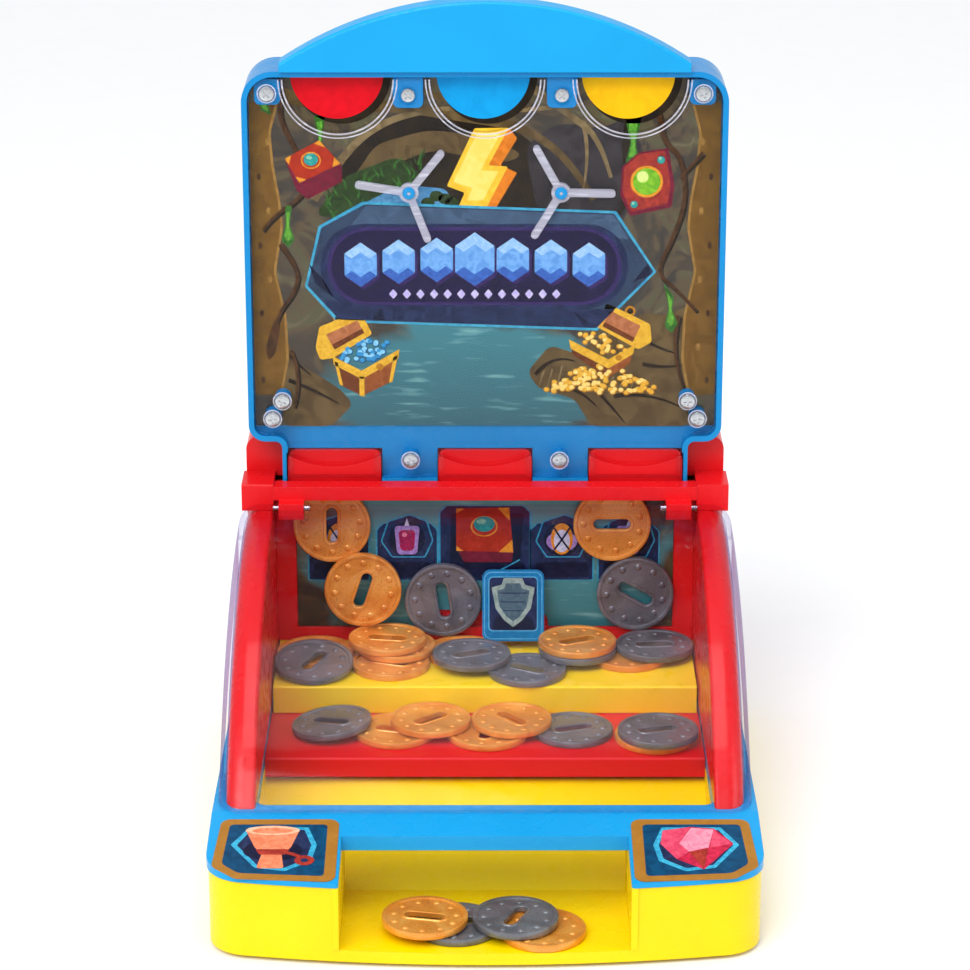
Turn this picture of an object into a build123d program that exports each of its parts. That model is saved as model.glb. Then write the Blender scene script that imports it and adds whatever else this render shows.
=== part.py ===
"""Table-top coin pusher toy: a separate solid for every piece, in millimetres.

+X is right, +Y is back and +Z is up, seen by the player. The origin lies on the table, under the
middle of the machine. Depths are stated as setbacks: distances behind the front of the base.
"""
from build123d import *
from math import atan2, cos, degrees, hypot, pi, radians, sin
import os

os.makedirs("parts", exist_ok=True)

# ---- driving dimensions ------------------------------------------------------------------------
width = 178.0               # base and top deck, side to side
depth = 216.0               # base, front to back
bow = 9.0                   # how far the base's front bulges forward
corner_r = 14.0             # base corners, in plan
wall = 2.2                  # moulded walls
fit = 0.3                   # gap between pieces that move past each other
seat = 0.05                 # gap between pieces that are fixed to each other

foot_h = 1.0
tub_h = 26.0                # yellow tub, above the feet
tray_floor = 4.0            # thickness of the tub's floor
tray_w = 93.0               # win tray opening
tray_len = 30.0             # front of the tub to the bridge
bridge = 20.0               # deck between the tray and the chute
chute_len = 45.0            # open slot in front of the token deck
deck_front_h = 1.2          # top deck's edge at the front
deck_rise = 7.0             # top deck, above the tub at the back
slope_len = 45.0            # sloped front of the top deck

field_w = 151.0             # playfield between the side walls
side_t = 10.0               # side walls, thickness
token_deck_top = 31.0
shelf_gap = 39.0            # token deck in front of the resting shelf
shelf_h = 10.0
shelf_seen = 44.0           # shelf in front of the back wall, at rest
shelf_hidden = 16.0
stroke = 12.0               # travel of the shelf

cover_t = 2.0
cover_w = 176.0
cover_start = 43.0          # setback of the cover's lower edge
cover_end = 168.0           # setback of the hinge
cover_top = 98.0
cover_bulge = 15.0          # how far the curve stands off its own chord
cover_corner = 8.0
cheek = 24.0                # width of the cover's side cheeks

body_top = 118.0            # red rear housing
body_w = 172.0
crossbar_z = 99.0
crossbar_h = 5.0

header_w = 168.6
header_h = 134.0
header_t = 24.0             # front to back
header_r = 11.0
header_low_r = 6.0
tongue_r = 2.5
tongue_w = 145.0
tongue_h = 16.0
rim = 2.0
channel = 3.3               # room for a falling token
window_t = 1.6
card_t = 0.6
crest_w = 142.0
crest_h = 24.5
crest_t = 10.0

inlet_r = 18.8
inlet_pitch = 50.8
spinner_x = 26.6
spinner_z = 209.0
arm_len = 18.0
pin_r = 1.0

token_r = 14.0
token_t = 2.4
token_gap = 0.1             # air left between stacked tokens
slot_len = 13.5
slot_w = 4.0

screw_r = 1.5
head_r = 2.8

# ---- places worked out from them ---------------------------------------------------------------
front = -depth / 2
tub_top = foot_h + tub_h
floor_z = foot_h + tray_floor
deck_z = tub_top + deck_rise
lip_s = tray_len + bridge + chute_len
shelf_s = lip_s + shelf_gap
wall_s = shelf_s + shelf_seen
housing_s = wall_s + 6.0
header_z = body_top + 0.5
header_s = wall_s - 2.0
header_top = header_z + header_h
card_s = header_s + window_t + channel
plate_s = card_s + card_t
shelf_top = token_deck_top + fit + shelf_h
field = field_w / 2
side_out = field + side_t


def block(x, s, z):
    """A box from (low, high) pairs; s is the setback from the front."""
    size = [b - a for a, b in (x, s, z)]
    mid = [(a + b) / 2 for a, b in (x, s, z)]
    return Pos(mid[0], front + mid[1], mid[2]) * Box(*size)


def rod_z(r, x, s, z0, z1):
    return Pos(x, front + s, (z0 + z1) / 2) * Cylinder(r, z1 - z0)


def rod_y(r, x, z, s0, s1):
    return Pos(x, front + (s0 + s1) / 2, z) * Rot(90, 0, 0) * Cylinder(r, s1 - s0)


def rod_x(r, s, z, x0, x1):
    return Pos((x0 + x1) / 2, front + s, z) * Rot(0, 90, 0) * Cylinder(r, x1 - x0)


def upright(face, s0, s1):
    """A face drawn as (x, z), given thickness from one setback to another."""
    return extrude(Plane((0, front + s1, 0), (1, 0, 0), (0, -1, 0)) * face, s1 - s0)


def profile(face, x0, x1):
    """A face drawn as (setback, z), given width from x0 to x1."""
    return extrude(Plane((x0, front, 0), (0, 1, 0), (1, 0, 0)) * face, x1 - x0)


def face_of(*edges):
    return make_face(Wire(list(edges)))


def mirrored(shape):
    return mirror(shape, about=Plane.YZ)


def save(node, *solids):
    shape = solids[0] if len(solids) == 1 else Compound(children=[s.solid() for s in solids])
    export_step(shape, f"parts/{node}.step")


# ---- base: tub, deck, feet ---------------------------------------------------------------------
def plan(inset=0.0):
    """The base in plan: a rounded rectangle with a bowed front."""
    w = width / 2 - inset
    y0, y1 = front + inset, -front - inset
    nose = ThreePointArc((-w, y0 + bow), (0, y0), (w, y0 + bow))
    rest = Polyline((w, y0 + bow), (w, y1), (-w, y1), (-w, y0 + bow))
    sheet = make_face(Wire([nose, *rest.edges()]))
    return fillet(sheet.vertices(), corner_r - inset)


def prism(face, z0, z1):
    return Pos(0, 0, z0) * extrude(face, z1 - z0)


rib_x = field - 4.0         # ribs that carry the token deck
ramp_top = token_deck_top - 9.0
ramp_t = 2.0
drive_s = lip_s + 5.0       # the drive bay starts here
bay_x = (-74.0, -20.0)      # battery bay
bay_s = (158.0, 206.0)
bay_h = 16.5
door_gap = 0.2
switch_x = 40.0
switch_z = floor_z + 9.0
switch_travel = 2.5
knob_w = 5.0

tub = prism(plan(), foot_h, tub_top) - prism(plan(wall), floor_z, tub_top + 1)
tray = tray_w / 2
tub -= block((-tray, tray), (-1, wall + bow), (floor_z, tub_top + 1))
tub += block((tray, tray + wall), (wall, tray_len + bridge), (floor_z, tub_top))
tub += block((-tray - wall, -tray), (wall, tray_len + bridge), (floor_z, tub_top))
for side in (-1, 1):
    near, far = sorted((side * tray, side * (width / 2 - wall)))
    tub += block((near, far), (tray_len + bridge - wall, tray_len + bridge), (floor_z, tub_top))
    near, far = sorted((side * rib_x, side * (rib_x + 3.0)))
    top = token_deck_top - 2.5
    tub += block((near, far), (drive_s, depth - 4.5), (floor_z, top))
ramp_face = face_of(*Polyline((tray_len + bridge - 4, floor_z), (drive_s - ramp_t, ramp_top),
                              (drive_s, ramp_top), (drive_s, floor_z),
                              (tray_len + bridge - 4, floor_z)).edges())
hollow_ramp = face_of(*Polyline((tray_len + bridge + 8, floor_z - 5), (drive_s - ramp_t, ramp_top - 4),
                                (drive_s - ramp_t, floor_z - 5),
                                (tray_len + bridge + 8, floor_z - 5)).edges())
tub += profile(ramp_face, -field, field)
tub -= profile(hollow_ramp, -field + wall, field - wall)
for side in (-1, 1):
    near, far = sorted((side * field, side * (field + wall)))
    tub += block((near, far), (tray_len + bridge - wall, drive_s), (floor_z, tub_top))
tub -= block((bay_x[0] + 2, bay_x[1] - 2), (bay_s[0] + 2, bay_s[1] - 2), (0, floor_z + 1))
tub -= block((bay_x[0] - fit, bay_x[1] + fit), (bay_s[0] - fit, bay_s[1] + fit),
             (floor_z, floor_z + bay_h + fit))
slot_half = switch_travel + knob_w / 2 + fit
tub -= block((switch_x - slot_half, switch_x + slot_half), (depth - wall - 1, depth + 1),
             (switch_z - 2 - fit, switch_z + 2 + fit))
foot_places = [(sx * (width / 2 - 10), s) for sx in (-1, 1) for s in (26.0, depth - 14)]
screw_places = [(sx * (width / 2 - 7.5), s) for sx in (-1, 1) for s in (70.0, depth - 34)]
boss_r = 3.6
for x, s in screw_places:
    tub += rod_z(boss_r, x, s, floor_z - 1, tub_top)
    tub -= rod_z(screw_r + seat, x, s, 0, tub_top + 1)
    tub -= rod_z(head_r + fit, x, s, 0, floor_z - 1.5)
save("base_tub", tub)

save("rubber_feet", *[rod_z(6.0, x, s, 0, foot_h) for x, s in foot_places])
save("base_screws", *[rod_z(screw_r, x, s, floor_z - 1.7, tub_top + 2)
                      + rod_z(head_r, x, s, floor_z - 3.0, floor_z - 1.7) for x, s in screw_places])


def deck_profile(drop, start, end):
    """Side view of the deck's top, lowered by a wall where it is the hollow below."""
    top = deck_z - drop
    nose = tub_top + deck_front_h - drop
    return face_of(*Polyline((start, tub_top - drop), (start, nose), (0, nose), (slope_len, top), (end, top),
                             (end, tub_top - drop), (start, tub_top - drop)).edges())


deck = prism(plan(-0.6), tub_top, deck_z + 1) & profile(deck_profile(0, -2, depth + 2), -width, width)
hollow = prism(plan(wall - 0.6), tub_top - 3, deck_z) & profile(
    deck_profile(wall, -1, depth), -width, width)
hollow -= block((-tray - wall, tray + wall), (-1, tray_len + wall), (tub_top - 5, deck_z))
hollow -= block((-field - wall - 0.5, field + wall + 0.5), (tray_len + bridge - wall, depth),
                (tub_top - 5, deck_z))
deck -= hollow
deck -= block((-tray, tray), (-3, tray_len), (tub_top - 1, deck_z + 2))
mouth = block((-field - 0.2, field + 0.2), (tray_len + bridge, depth - 3.5), (tub_top - 1, deck_z + 2))
deck -= fillet(mouth.edges().filter_by(Axis.Z).group_by(Axis.Y)[0], 4)
deck = fillet(deck.edges().filter_by(Axis.Z).filter_by(lambda e: e.center().Y < front + 5
              and abs(abs(e.center().X) - tray) < 0.5), 1.0)
for x, s in screw_places:
    deck += rod_z(boss_r, x, s, tub_top, deck_z - 1)
    deck -= rod_z(screw_r + seat, x, s, tub_top - 1, tub_top + 2.5)
save("top_deck", deck)

# ---- stickers on the wings, following the slope ------------------------------------------------
sticker_t = 0.3
sticker_len = 40.0
sticker_in = tray + 1.0
sticker_out = width / 2 - 1.6
slope = atan2(deck_rise - deck_front_h, slope_len)
sticker_face = fillet(make_face(Polyline((sticker_in, 3.0), (sticker_out - 8, 5.0), (sticker_out, 12.0),
                                         (sticker_out - 1.5, sticker_len), (sticker_in, sticker_len),
                                         (sticker_in, 3.0))).vertices(), 3.5)
sticker = Pos(0, front, tub_top + deck_front_h + 0.02) * Rot(degrees(slope), 0, 0) * extrude(
    sticker_face, sticker_t)
save("sticker_right", sticker)
save("sticker_left", mirrored(sticker))

# ---- playfield: token deck, back wall, card ----------------------------------------------------
post_x, post_s = 0.0, shelf_s + 30.0
post_r = 2.2
deck_t = 2.5
token_deck = block((-field, field), (lip_s, depth - 4), (token_deck_top - deck_t, token_deck_top))
token_deck += block((-field, field), (lip_s, lip_s + deck_t), (token_deck_top - 7, token_deck_top))
token_deck = fillet(token_deck.edges().filter_by(Axis.X).group_by(Axis.Z)[-1].sort_by(Axis.Y)[0], 1.0)
token_deck -= block((-post_r - fit, post_r + fit), (post_s - stroke - post_r - 1, post_s + post_r + 1),
                    (token_deck_top - 6, token_deck_top + 1))
save("token_deck", token_deck)

window_w = 136.6            # opening of the back wall
window_z = (46.6, 98.6)
backing_t = 2.6
arch_w = 46.0
back_wall = block((-field + seat, field - seat), (wall_s, wall_s + backing_t),
                  (shelf_top + fit, header_z - tongue_h))
back_wall -= block((-window_w / 2, window_w / 2), (wall_s - 1, wall_s + 1.4), window_z)
save("back_wall", back_wall)
card = block((-window_w / 2 + 0.2, window_w / 2 - 0.2), (wall_s + 0.8, wall_s + 1.4 - seat),
             (window_z[0] + 0.2, window_z[1] - 0.2))
arch_face = Pos(0, window_z[0] - 2) * RectangleRounded(arch_w, 17.0, 5.0)
card -= upright(arch_face, wall_s, wall_s + 3)
save("playfield_card", card)

# ---- side walls under the curved cover ---------------------------------------------------------
low = (cover_start, deck_z + 0.3)
high = (cover_end, cover_top)
chord = hypot(high[0] - low[0], high[1] - low[1])
cover_r = (chord * chord / 4 + cover_bulge ** 2) / (2 * cover_bulge)
lean = atan2(high[1] - low[1], high[0] - low[0])
arc_mid = ((low[0] + high[0]) / 2, (low[1] + high[1]) / 2)
arc_drop = cover_r - cover_bulge
arc_centre = (arc_mid[0] + arc_drop * sin(lean), arc_mid[1] - arc_drop * cos(lean))


def under_arc(inset, end, base):
    """Everything below the cover's curve, a given distance inside it."""
    disc = Pos(*arc_centre) * Circle(cover_r - inset)
    ceiling = cover_top + 20
    return disc & Pos((end + 10) / 2, (base + ceiling) / 2) * Rectangle(end - 10, ceiling - base)


wall_gap = cover_t + 1.0
side_face = under_arc(wall_gap, housing_s, deck_z)
side = profile(side_face, field, side_out)
arcs = side.edges().filter_by(GeomType.CIRCLE).sort_by(Axis.X)
side = fillet(arcs[-1], cover_corner - cover_t - 0.4)
side = fillet(side.edges().filter_by(GeomType.CIRCLE).sort_by(Axis.X)[0], 1.2)
side -= profile(under_arc(wall_gap + wall, housing_s - wall, deck_z - 5), field + wall, side_out - wall)
save("side_wall_right", side)
save("side_wall_left", mirrored(side))

# ---- rear housing and crossbar -----------------------------------------------------------------
half_body = body_w / 2
housing = block((-half_body, half_body), (housing_s, depth), (deck_z, body_top))
housing = fillet(housing.edges().filter_by(Axis.Z).group_by(Axis.Y)[-1], 8)
housing = fillet(housing.edges().group_by(Axis.Z)[-1].filter_by(
    lambda e: abs(e.center().X) > half_body - 9 or e.center().Y > depth / 2 - 9), 5)
housing -= block((-half_body + wall, half_body - wall), (housing_s + wall, depth - wall),
                 (deck_z - 1, body_top - wall))
housing -= block((-field, field), (housing_s - 1, housing_s + wall + 1), (deck_z - 1, crossbar_z + 4))
grille = [block((-20, 20), (depth - wall - 1, depth + 1), (z, z + 1.6)) for z in (60.0, 64.0, 68.0, 72.0)]
for vent in grille:
    housing -= vent
save("rear_housing", housing)

end_w = 11.4
bar_s = cover_end
bar = block((-field, field), (bar_s, bar_s + 7), (crossbar_z, crossbar_z + crossbar_h))
hinge_z = cover_top - 1.0
hinge_s = cover_end - 2.4
lug_x = field - 6.5
lug_w = 9.0
lug_t = 1.4
for side_sign in (-1, 1):
    near, far = sorted((side_sign * field, side_sign * (field + end_w)))
    bar += block((near, far), (bar_s + 0.4, housing_s), (cover_top - 3.0, crossbar_z + crossbar_h + 0.8))
    near, far = sorted((side_sign * (lug_x - lug_w / 2), side_sign * (lug_x + lug_w / 2)))
    bar += block((near, far), (hinge_s - 2.6, bar_s + 7), (crossbar_z - 5.5, hinge_z + 2.2))
bar = fillet(bar.edges().filter_by(Axis.X).group_by(Axis.Z)[-1].sort_by(Axis.Y)[0], 0.8)
for side_sign in (-1, 1):
    bar -= rod_x(pin_r + 0.05, hinge_s, hinge_z, side_sign * lug_x - 7, side_sign * lug_x + 7)
side_cap = profile(under_arc(wall_gap - 0.02, housing_s + 1, deck_z), field - 0.01, side_out + 0.01)
bar -= side_cap + mirrored(side_cap)
save("crossbar", bar)

# ---- window cover, hinged to the crossbar ------------------------------------------------------
cover_base = deck_z + 0.3
half_cover = cover_w / 2
outer = profile(under_arc(0, cover_end - 1, cover_base), -half_cover, half_cover)
outer = fillet(outer.edges().filter_by(GeomType.CIRCLE), cover_corner)
inner_half = half_cover - cover_t
inner = profile(under_arc(cover_t, cover_end + 5, cover_base - 5), -inner_half, inner_half)
inner = fillet(inner.edges().filter_by(GeomType.CIRCLE), cover_corner - cover_t)
cover = outer - inner
cover -= profile(under_arc(cheek, cover_end + 9, cover_base - 5), -width, width)
cover -= block((-width, width), (cover_end - 5.5, cover_end + 5), (cover_base - 5, cover_top - 12))
lug_gap = lug_w / 2 + fit
hinge_cut = block((lug_x - lug_gap, lug_x + lug_gap), (hinge_s - 4.2, cover_end + 5),
                  (cover_top - 20, cover_top + 5))
pin_cut = rod_x(pin_r, hinge_s, hinge_z, lug_x - 7, lug_x + 7)
lugs = Part()
for near in (lug_x - lug_gap - lug_t, lug_x + lug_gap):
    lugs += block((near, near + lug_t), (hinge_s - 6.5, hinge_s + 1.9), (hinge_z - 2.7, hinge_z + 1.6))
half = cover & block((0, width), (-10, depth), (0, 150))
half = half - hinge_cut + lugs - pin_cut
cover = half + mirrored(half)
save("window_cover", cover)
save("hinge_pins", *[rod_x(pin_r, hinge_s, hinge_z, s * lug_x - 6.5, s * lug_x + 6.5) for s in (-1, 1)])

# ---- scoops that turn the tokens forward -------------------------------------------------------
scoop_w = 33.5
scoop_pitch = 54.0
scoop_z = (crossbar_z + crossbar_h - 1.4, 114.0)
scoop_dish_r = 34.0
scoops = []
for i in (-1, 0, 1):
    x = i * scoop_pitch
    edges = (x - scoop_w / 2, x + scoop_w / 2)
    back = block(edges, (card_s, housing_s - seat), scoop_z)
    lip = block(edges, (header_s + window_t, card_s), scoop_z)
    back = fillet(back.edges().filter_by(Axis.Y).group_by(Axis.Z)[-1], 3)
    lip = fillet(lip.edges().filter_by(Axis.Y).group_by(Axis.Z)[-1], 3)
    lip -= rod_y(scoop_dish_r, x, scoop_z[1] - 5.5 + scoop_dish_r, header_s, card_s)
    scoops.append(back + lip)
save("token_scoops", *scoops)

# ---- header: frame, card, clear panel, cover, crest --------------------------------------------
def header_outline(inset=0.0, tongue=True):
    """The header's outline as (x, z), with or without the tongue behind the crossbar."""
    w, low_z, top_z = header_w / 2 - inset, header_z + inset, header_top - inset
    t, foot = tongue_w / 2 - inset, header_z - tongue_h + inset
    half = [(w, top_z), (w, low_z)]
    if tongue:
        half += [(t, low_z), (t, foot)]
    sheet = make_face(Polyline(*half, *[(-x, z) for x, z in half[::-1]], close=True))
    corners = sheet.vertices()
    sheet = fillet([v for v in corners if abs(v.Y - top_z) < 0.01], header_r - inset)
    corners = sheet.vertices()
    sheet = fillet([v for v in corners if abs(v.Y - low_z) < 0.01 and abs(abs(v.X) - w) < 0.01],
                   header_low_r - inset)
    if tongue:
        corners = sheet.vertices()
        sheet = fillet([v for v in corners if abs(v.Y - low_z) < 0.01 and abs(abs(v.X) - t) < 0.01],
                       tongue_r + inset)
    return sheet


slot_z = header_z - 1.5      # raised ribs above the scoops
frame = upright(header_outline(), header_s, housing_s)
frame += upright(header_outline(tongue=False), housing_s, header_s + header_t)
frame -= upright(header_outline(rim), header_s - 1, plate_s)
frame -= upright(header_outline(rim, tongue=False), plate_s + 2, header_s + header_t + 1)
for i in (-1, 0, 1):
    frame -= block((i * scoop_pitch - scoop_w / 2 - 0.3, i * scoop_pitch + scoop_w / 2 + 0.3),
                   (header_s - 1, housing_s + 1), (scoop_z[0] - 5, scoop_z[1] + 0.3))
frame -= block((-tongue_w, tongue_w), (header_s - 1, housing_s + 1), (0, crossbar_z + crossbar_h - 1.4))
boss_x, boss_z = spinner_x, header_top - 8.5
upper_x, lower_x = 75.3, 75.6
corner_screws = [(s * upper_x, header_top - 7.4) for s in (-1, 1)]
corner_screws += [(s * x, header_z + rise) for x, rise in ((lower_x, 9.0), (72.0, 15.6)) for s in (-1, 1)]
blue_bosses = [(s * boss_x, boss_z) for s in (-1, 1)]
tongue_bosses = [(s * spinner_x, header_z - 6.6) for s in (-1, 1)]
for x, z in blue_bosses:
    frame += upright(Pos(x, z + 1.5) * RectangleRounded(10.4, 12.0, 2.0), header_s + window_t, plate_s + 1)
for x, z in corner_screws[:2]:
    frame += upright(Pos(x, z) * RectangleRounded(9.0, 9.0, 2.0), header_s + window_t, plate_s + 1)
for x, z in corner_screws[2:] + tongue_bosses:
    frame += rod_y(2.9, x, z, header_s + window_t, plate_s + 1)
for x, z in corner_screws + blue_bosses + tongue_bosses:
    frame -= rod_y(screw_r + seat, x, z, header_s - 1, header_s + 6.5)
for s in (-1, 1):
    frame -= rod_y(pin_r, s * spinner_x, spinner_z, header_s - 1, plate_s + 3)
save("header_frame", frame)

card_low = header_z + 4.5
header_card = upright(header_outline(rim + 0.3, tongue=False), card_s, plate_s - seat)
header_card -= block((-width, width), (0, depth), (0, card_low))
for x, z in blue_bosses:
    header_card -= upright(Pos(x, z + 1.5) * RectangleRounded(10.8, 12.4, 2.2), 0, depth)
for x, z in corner_screws[:2]:
    header_card -= upright(Pos(x, z) * RectangleRounded(9.4, 9.4, 2.2), 0, depth)
for x, z in corner_screws[2:]:
    header_card -= rod_y(3.1, x, z, 0, depth)
for s in (-1, 1):
    header_card -= rod_y(pin_r + 0.5, s * spinner_x, spinner_z, 0, depth)
save("header_card", header_card)

panel_low = crossbar_z + crossbar_h + 0.4
panel = upright(header_outline(rim + 0.3), header_s, header_s + window_t - seat)
panel -= block((-width, width), (0, depth), (0, panel_low))
panel_top = header_top - rim - 0.3
exit_w = 29.6               # where a token leaves the channel, over its scoop
for i in (-1, 0, 1):
    x = i * inlet_pitch
    panel += rod_y(inlet_r + 1.8, x, panel_top, header_s - 1.4, header_s + 0.2) - block(
        (-width, width), (0, depth), (panel_top, panel_top + 40))
    panel -= rod_y(inlet_r, x, panel_top, header_s - 3, header_s + 3)
    bar_x = i * scoop_pitch
    panel += upright(Pos(bar_x, slot_z) * RectangleRounded(29.0, 2.4, 1.1), header_s - 1.0, header_s + 0.2)
    panel -= block((bar_x - exit_w / 2, bar_x + exit_w / 2), (0, depth), (panel_low + 1.2, slot_z - 1.8))
for x, z in corner_screws + tongue_bosses:
    panel += rod_y(3.1, x, z, header_s - 1.2, header_s + 0.2)
for x, z in corner_screws + tongue_bosses + blue_bosses:
    panel -= rod_y(screw_r + 0.1, x, z, 0, depth)
for x, z in blue_bosses:
    panel -= rod_y(head_r + 0.4, x, z, 0, depth)
save("header_window", panel)

screws = []
for x, z in corner_screws + tongue_bosses:
    screws.append(rod_y(screw_r, x, z, header_s - 1.3, header_s + 6)
                  + rod_y(head_r, x, z, header_s - 2.3, header_s - 1.25))
for x, z in blue_bosses:
    screws.append(rod_y(screw_r, x, z, header_s + 0.5, header_s + 6)
                  + rod_y(head_r - 0.2, x, z, header_s + 0.4, header_s + window_t - seat))
save("header_screws", *screws)

lid = upright(header_outline(tongue=False), header_s + header_t + seat, header_s + header_t + 2)
lid = fillet(lid.edges().group_by(Axis.Y)[-1], 0.8)
save("header_rear_cover", lid)

crest_base = header_top + seat
half_crest = crest_w / 2
crest_side = 3.0
crest_top = crest_base + crest_h
crest_ear = crest_base + crest_side
crest_face = face_of(
    Line((-half_crest, crest_base), (half_crest, crest_base)),
    Line((half_crest, crest_base), (half_crest, crest_ear)),
    ThreePointArc((half_crest, crest_ear), (0, crest_top), (-half_crest, crest_ear)),
    Line((-half_crest, crest_ear), (-half_crest, crest_base)))
crest_s = header_s - 1.5
crest = upright(crest_face, crest_s, crest_s + crest_t)
crest = fillet(crest.edges().group_by(Axis.Y)[0].filter_by(GeomType.CIRCLE), 1.2)
save("marquee_crest", crest)

# ---- spinners in the token channel -------------------------------------------------------------
spin_t = 2.0
spin_s = card_s - 0.5 - spin_t
for name, x, turn in (("spinner_left", -spinner_x, 51.0), ("spinner_right", spinner_x, -1.0)):
    flat = Circle(3.4)
    for k in range(3):
        flat += Rot(0, 0, turn + 120 * k) * Pos(arm_len / 2, 0) * SlotOverall(arm_len + 2, 2.6)
    flat -= Circle(pin_r + 0.05)
    save(name, upright(Pos(x, spinner_z) * flat, spin_s, spin_s + spin_t))
    pin = rod_y(pin_r, x, spinner_z, header_s + window_t + 0.1, plate_s + 2.5)
    save(name.replace("spinner", "spinner_pin"), pin)

# ---- pusher shelf ------------------------------------------------------------------------------
shelf_w = field_w - 1.4
shelf_z = token_deck_top + fit
shelf = block((-shelf_w / 2, shelf_w / 2), (shelf_s, wall_s + shelf_hidden), (shelf_z, shelf_top))
shelf = fillet(shelf.edges().filter_by(Axis.X).group_by(Axis.Z)[-1].sort_by(Axis.Y)[0], 0.8)
shelf -= block((-shelf_w / 2 + wall, shelf_w / 2 - wall), (shelf_s + wall, wall_s + shelf_hidden - wall),
               (shelf_z - 1, shelf_top - wall))
shelf += rod_z(post_r + 2, post_x, post_s, shelf_z, shelf_top - 0.5)
save("pusher_shelf", shelf)
cam_floor_z = 23.5
follower = rod_z(post_r, post_x, post_s, cam_floor_z + fit, shelf_z)
save("follower_post", follower)

# ---- drive under the token deck ----------------------------------------------------------------
module = 0.5
cam_turn = 170.0            # degrees of cam for the whole stroke
cam_start = 8.3             # follower's distance from the cam's axis at rest
cam_s = post_s + cam_start
cam_teeth, idler_teeth, pinion_teeth = 56, 50, 10
addendum, dedendum = 0.85, 1.25   # tooth above and below the pitch circle, in modules
tooth_tip, tooth_root = 0.20, 0.54   # tooth's width there, as shares of the pitch


def gear(teeth, z0, z1, x, s, turn=0.0):
    """A spur gear with trapezoid teeth, a little thin so that it runs freely."""
    r = module * teeth / 2
    root, tip = r - dedendum * module, r + addendum * module
    pitch = 2 * pi / teeth
    flank = ((root, -tooth_root / 2), (tip, -tooth_tip / 2), (tip, tooth_tip / 2), (root, tooth_root / 2))
    points = []
    for k in range(teeth):
        a = k * pitch + radians(turn)
        for radius, part in flank:
            points.append((radius * cos(a + part * pitch), radius * sin(a + part * pitch)))
    return Pos(x, front + s, z0) * extrude(make_face(Polyline(*points, close=True)), z1 - z0)


idler_x = module * (cam_teeth + idler_teeth) / 2
pinion_x = idler_x + module * (idler_teeth + pinion_teeth) / 2
plate_t = 1.5
plate_z = floor_z + plate_t
gear_z = (17.6, 21.4)
cam_z = (gear_z[1] + 0.6, 26.0)
axle_r = 1.5
run = 0.05
hub_r = 3.2
cam_rise = stroke / radians(cam_turn)
samples = 12


def cam_path(offset):
    """One flank of the follower's path, moved sideways by an offset from its own line."""
    points = []
    for k in range(samples + 1):
        a = radians(cam_turn) * k / samples
        rho = cam_start + cam_rise * a
        size = hypot(rho, cam_rise)
        x = rho + offset * rho / size
        y = -offset * cam_rise / size
        points.append((x * cos(a) - y * sin(a), x * sin(a) + y * cos(a)))
    return points


groove = post_r + fit
near, far = cam_path(-groove), cam_path(groove)
end = radians(cam_turn)
end_rho = cam_start + stroke
groove_face = face_of(Spline(*near), Line(near[-1], far[-1]), Spline(*far[::-1]), Line(far[0], near[0]))
groove_face += Pos(cam_start, 0) * Circle(groove)
groove_face += Pos(end_rho * cos(end), end_rho * sin(end)) * Circle(groove)
cam = rod_z(cam_start + stroke + groove + 2, 0, cam_s, *cam_z)
cam -= Pos(0, front + cam_s, cam_floor_z) * Rot(0, 0, -90) * extrude(groove_face, cam_z[1])
cam += gear(cam_teeth, *gear_z, 0, cam_s)
cam += rod_z(hub_r, 0, cam_s, plate_z + fit, gear_z[0]) + rod_z(hub_r, 0, cam_s, gear_z[1], cam_z[0] + 0.1)
cam -= rod_z(axle_r + run, 0, cam_s, 0, 30)
save("cam_gear", cam)
idler = gear(idler_teeth, *gear_z, idler_x, cam_s, 180 - 180 / idler_teeth)
idler += rod_z(hub_r, idler_x, cam_s, plate_z + fit, gear_z[0])
idler -= rod_z(axle_r + run, idler_x, cam_s, 0, 30)
save("idler_gear", idler)
motor_r, motor_top = 10.0, 16.6
shaft_r = 0.9
pinion = gear(pinion_teeth, *gear_z, pinion_x, cam_s)
pinion += rod_z(shaft_r, pinion_x, cam_s, motor_top + 0.6, gear_z[0])
save("motor_pinion", pinion)
motor = rod_z(motor_r, pinion_x, cam_s, plate_z + seat, motor_top)
motor = fillet(motor.edges().filter_by(GeomType.CIRCLE), 1)
save("motor", motor + rod_z(3, pinion_x, cam_s, motor_top - 0.5, motor_top + 0.5))
plate = block((-18, pinion_x + motor_r + 3), (cam_s - 14, cam_s + 14), (floor_z + seat, plate_z))
save("gearbox_plate", plate)
save("gear_axles", rod_z(axle_r, 0, cam_s, plate_z, cam_z[1] + 1),
     rod_z(axle_r, idler_x, cam_s, plate_z, gear_z[1] + 0.2))

# ---- batteries, door, switch -------------------------------------------------------------------
cell_r, cell_len = 7.1, 50.0
cell_x = ((bay_x[0] + bay_x[1]) / 2 - cell_len / 2, (bay_x[0] + bay_x[1]) / 2 + cell_len / 2)
cell_z = floor_z + cell_r - 0.8
cell_s = [bay_s[0] + 9.6 + i * 14.4 for i in range(3)]
box_wall = 1.2
bay = block(bay_x, bay_s, (floor_z + seat, floor_z + bay_h))
bay -= block((bay_x[0] + box_wall, bay_x[1] - box_wall), (bay_s[0] + box_wall, bay_s[1] - box_wall),
             (floor_z - 1, floor_z + bay_h - box_wall))
save("battery_box", bay)
cells = []
for s in cell_s:
    cells.append(rod_x(cell_r, s, cell_z, cell_x[0], cell_x[1] - 1.2)
                 + rod_x(2.6, s, cell_z, cell_x[1] - 1.3, cell_x[1]))
save("batteries", *cells)
contacts = []
for s in cell_s:
    for x in (bay_x[0] + box_wall + 0.05, bay_x[1] - box_wall - 0.45):
        contacts.append(block((x, x + 0.4), (s - 5, s + 5), (cell_z - 4, cell_z + 4)))
save("battery_contacts", *contacts)
door_in = 2 + door_gap
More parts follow.
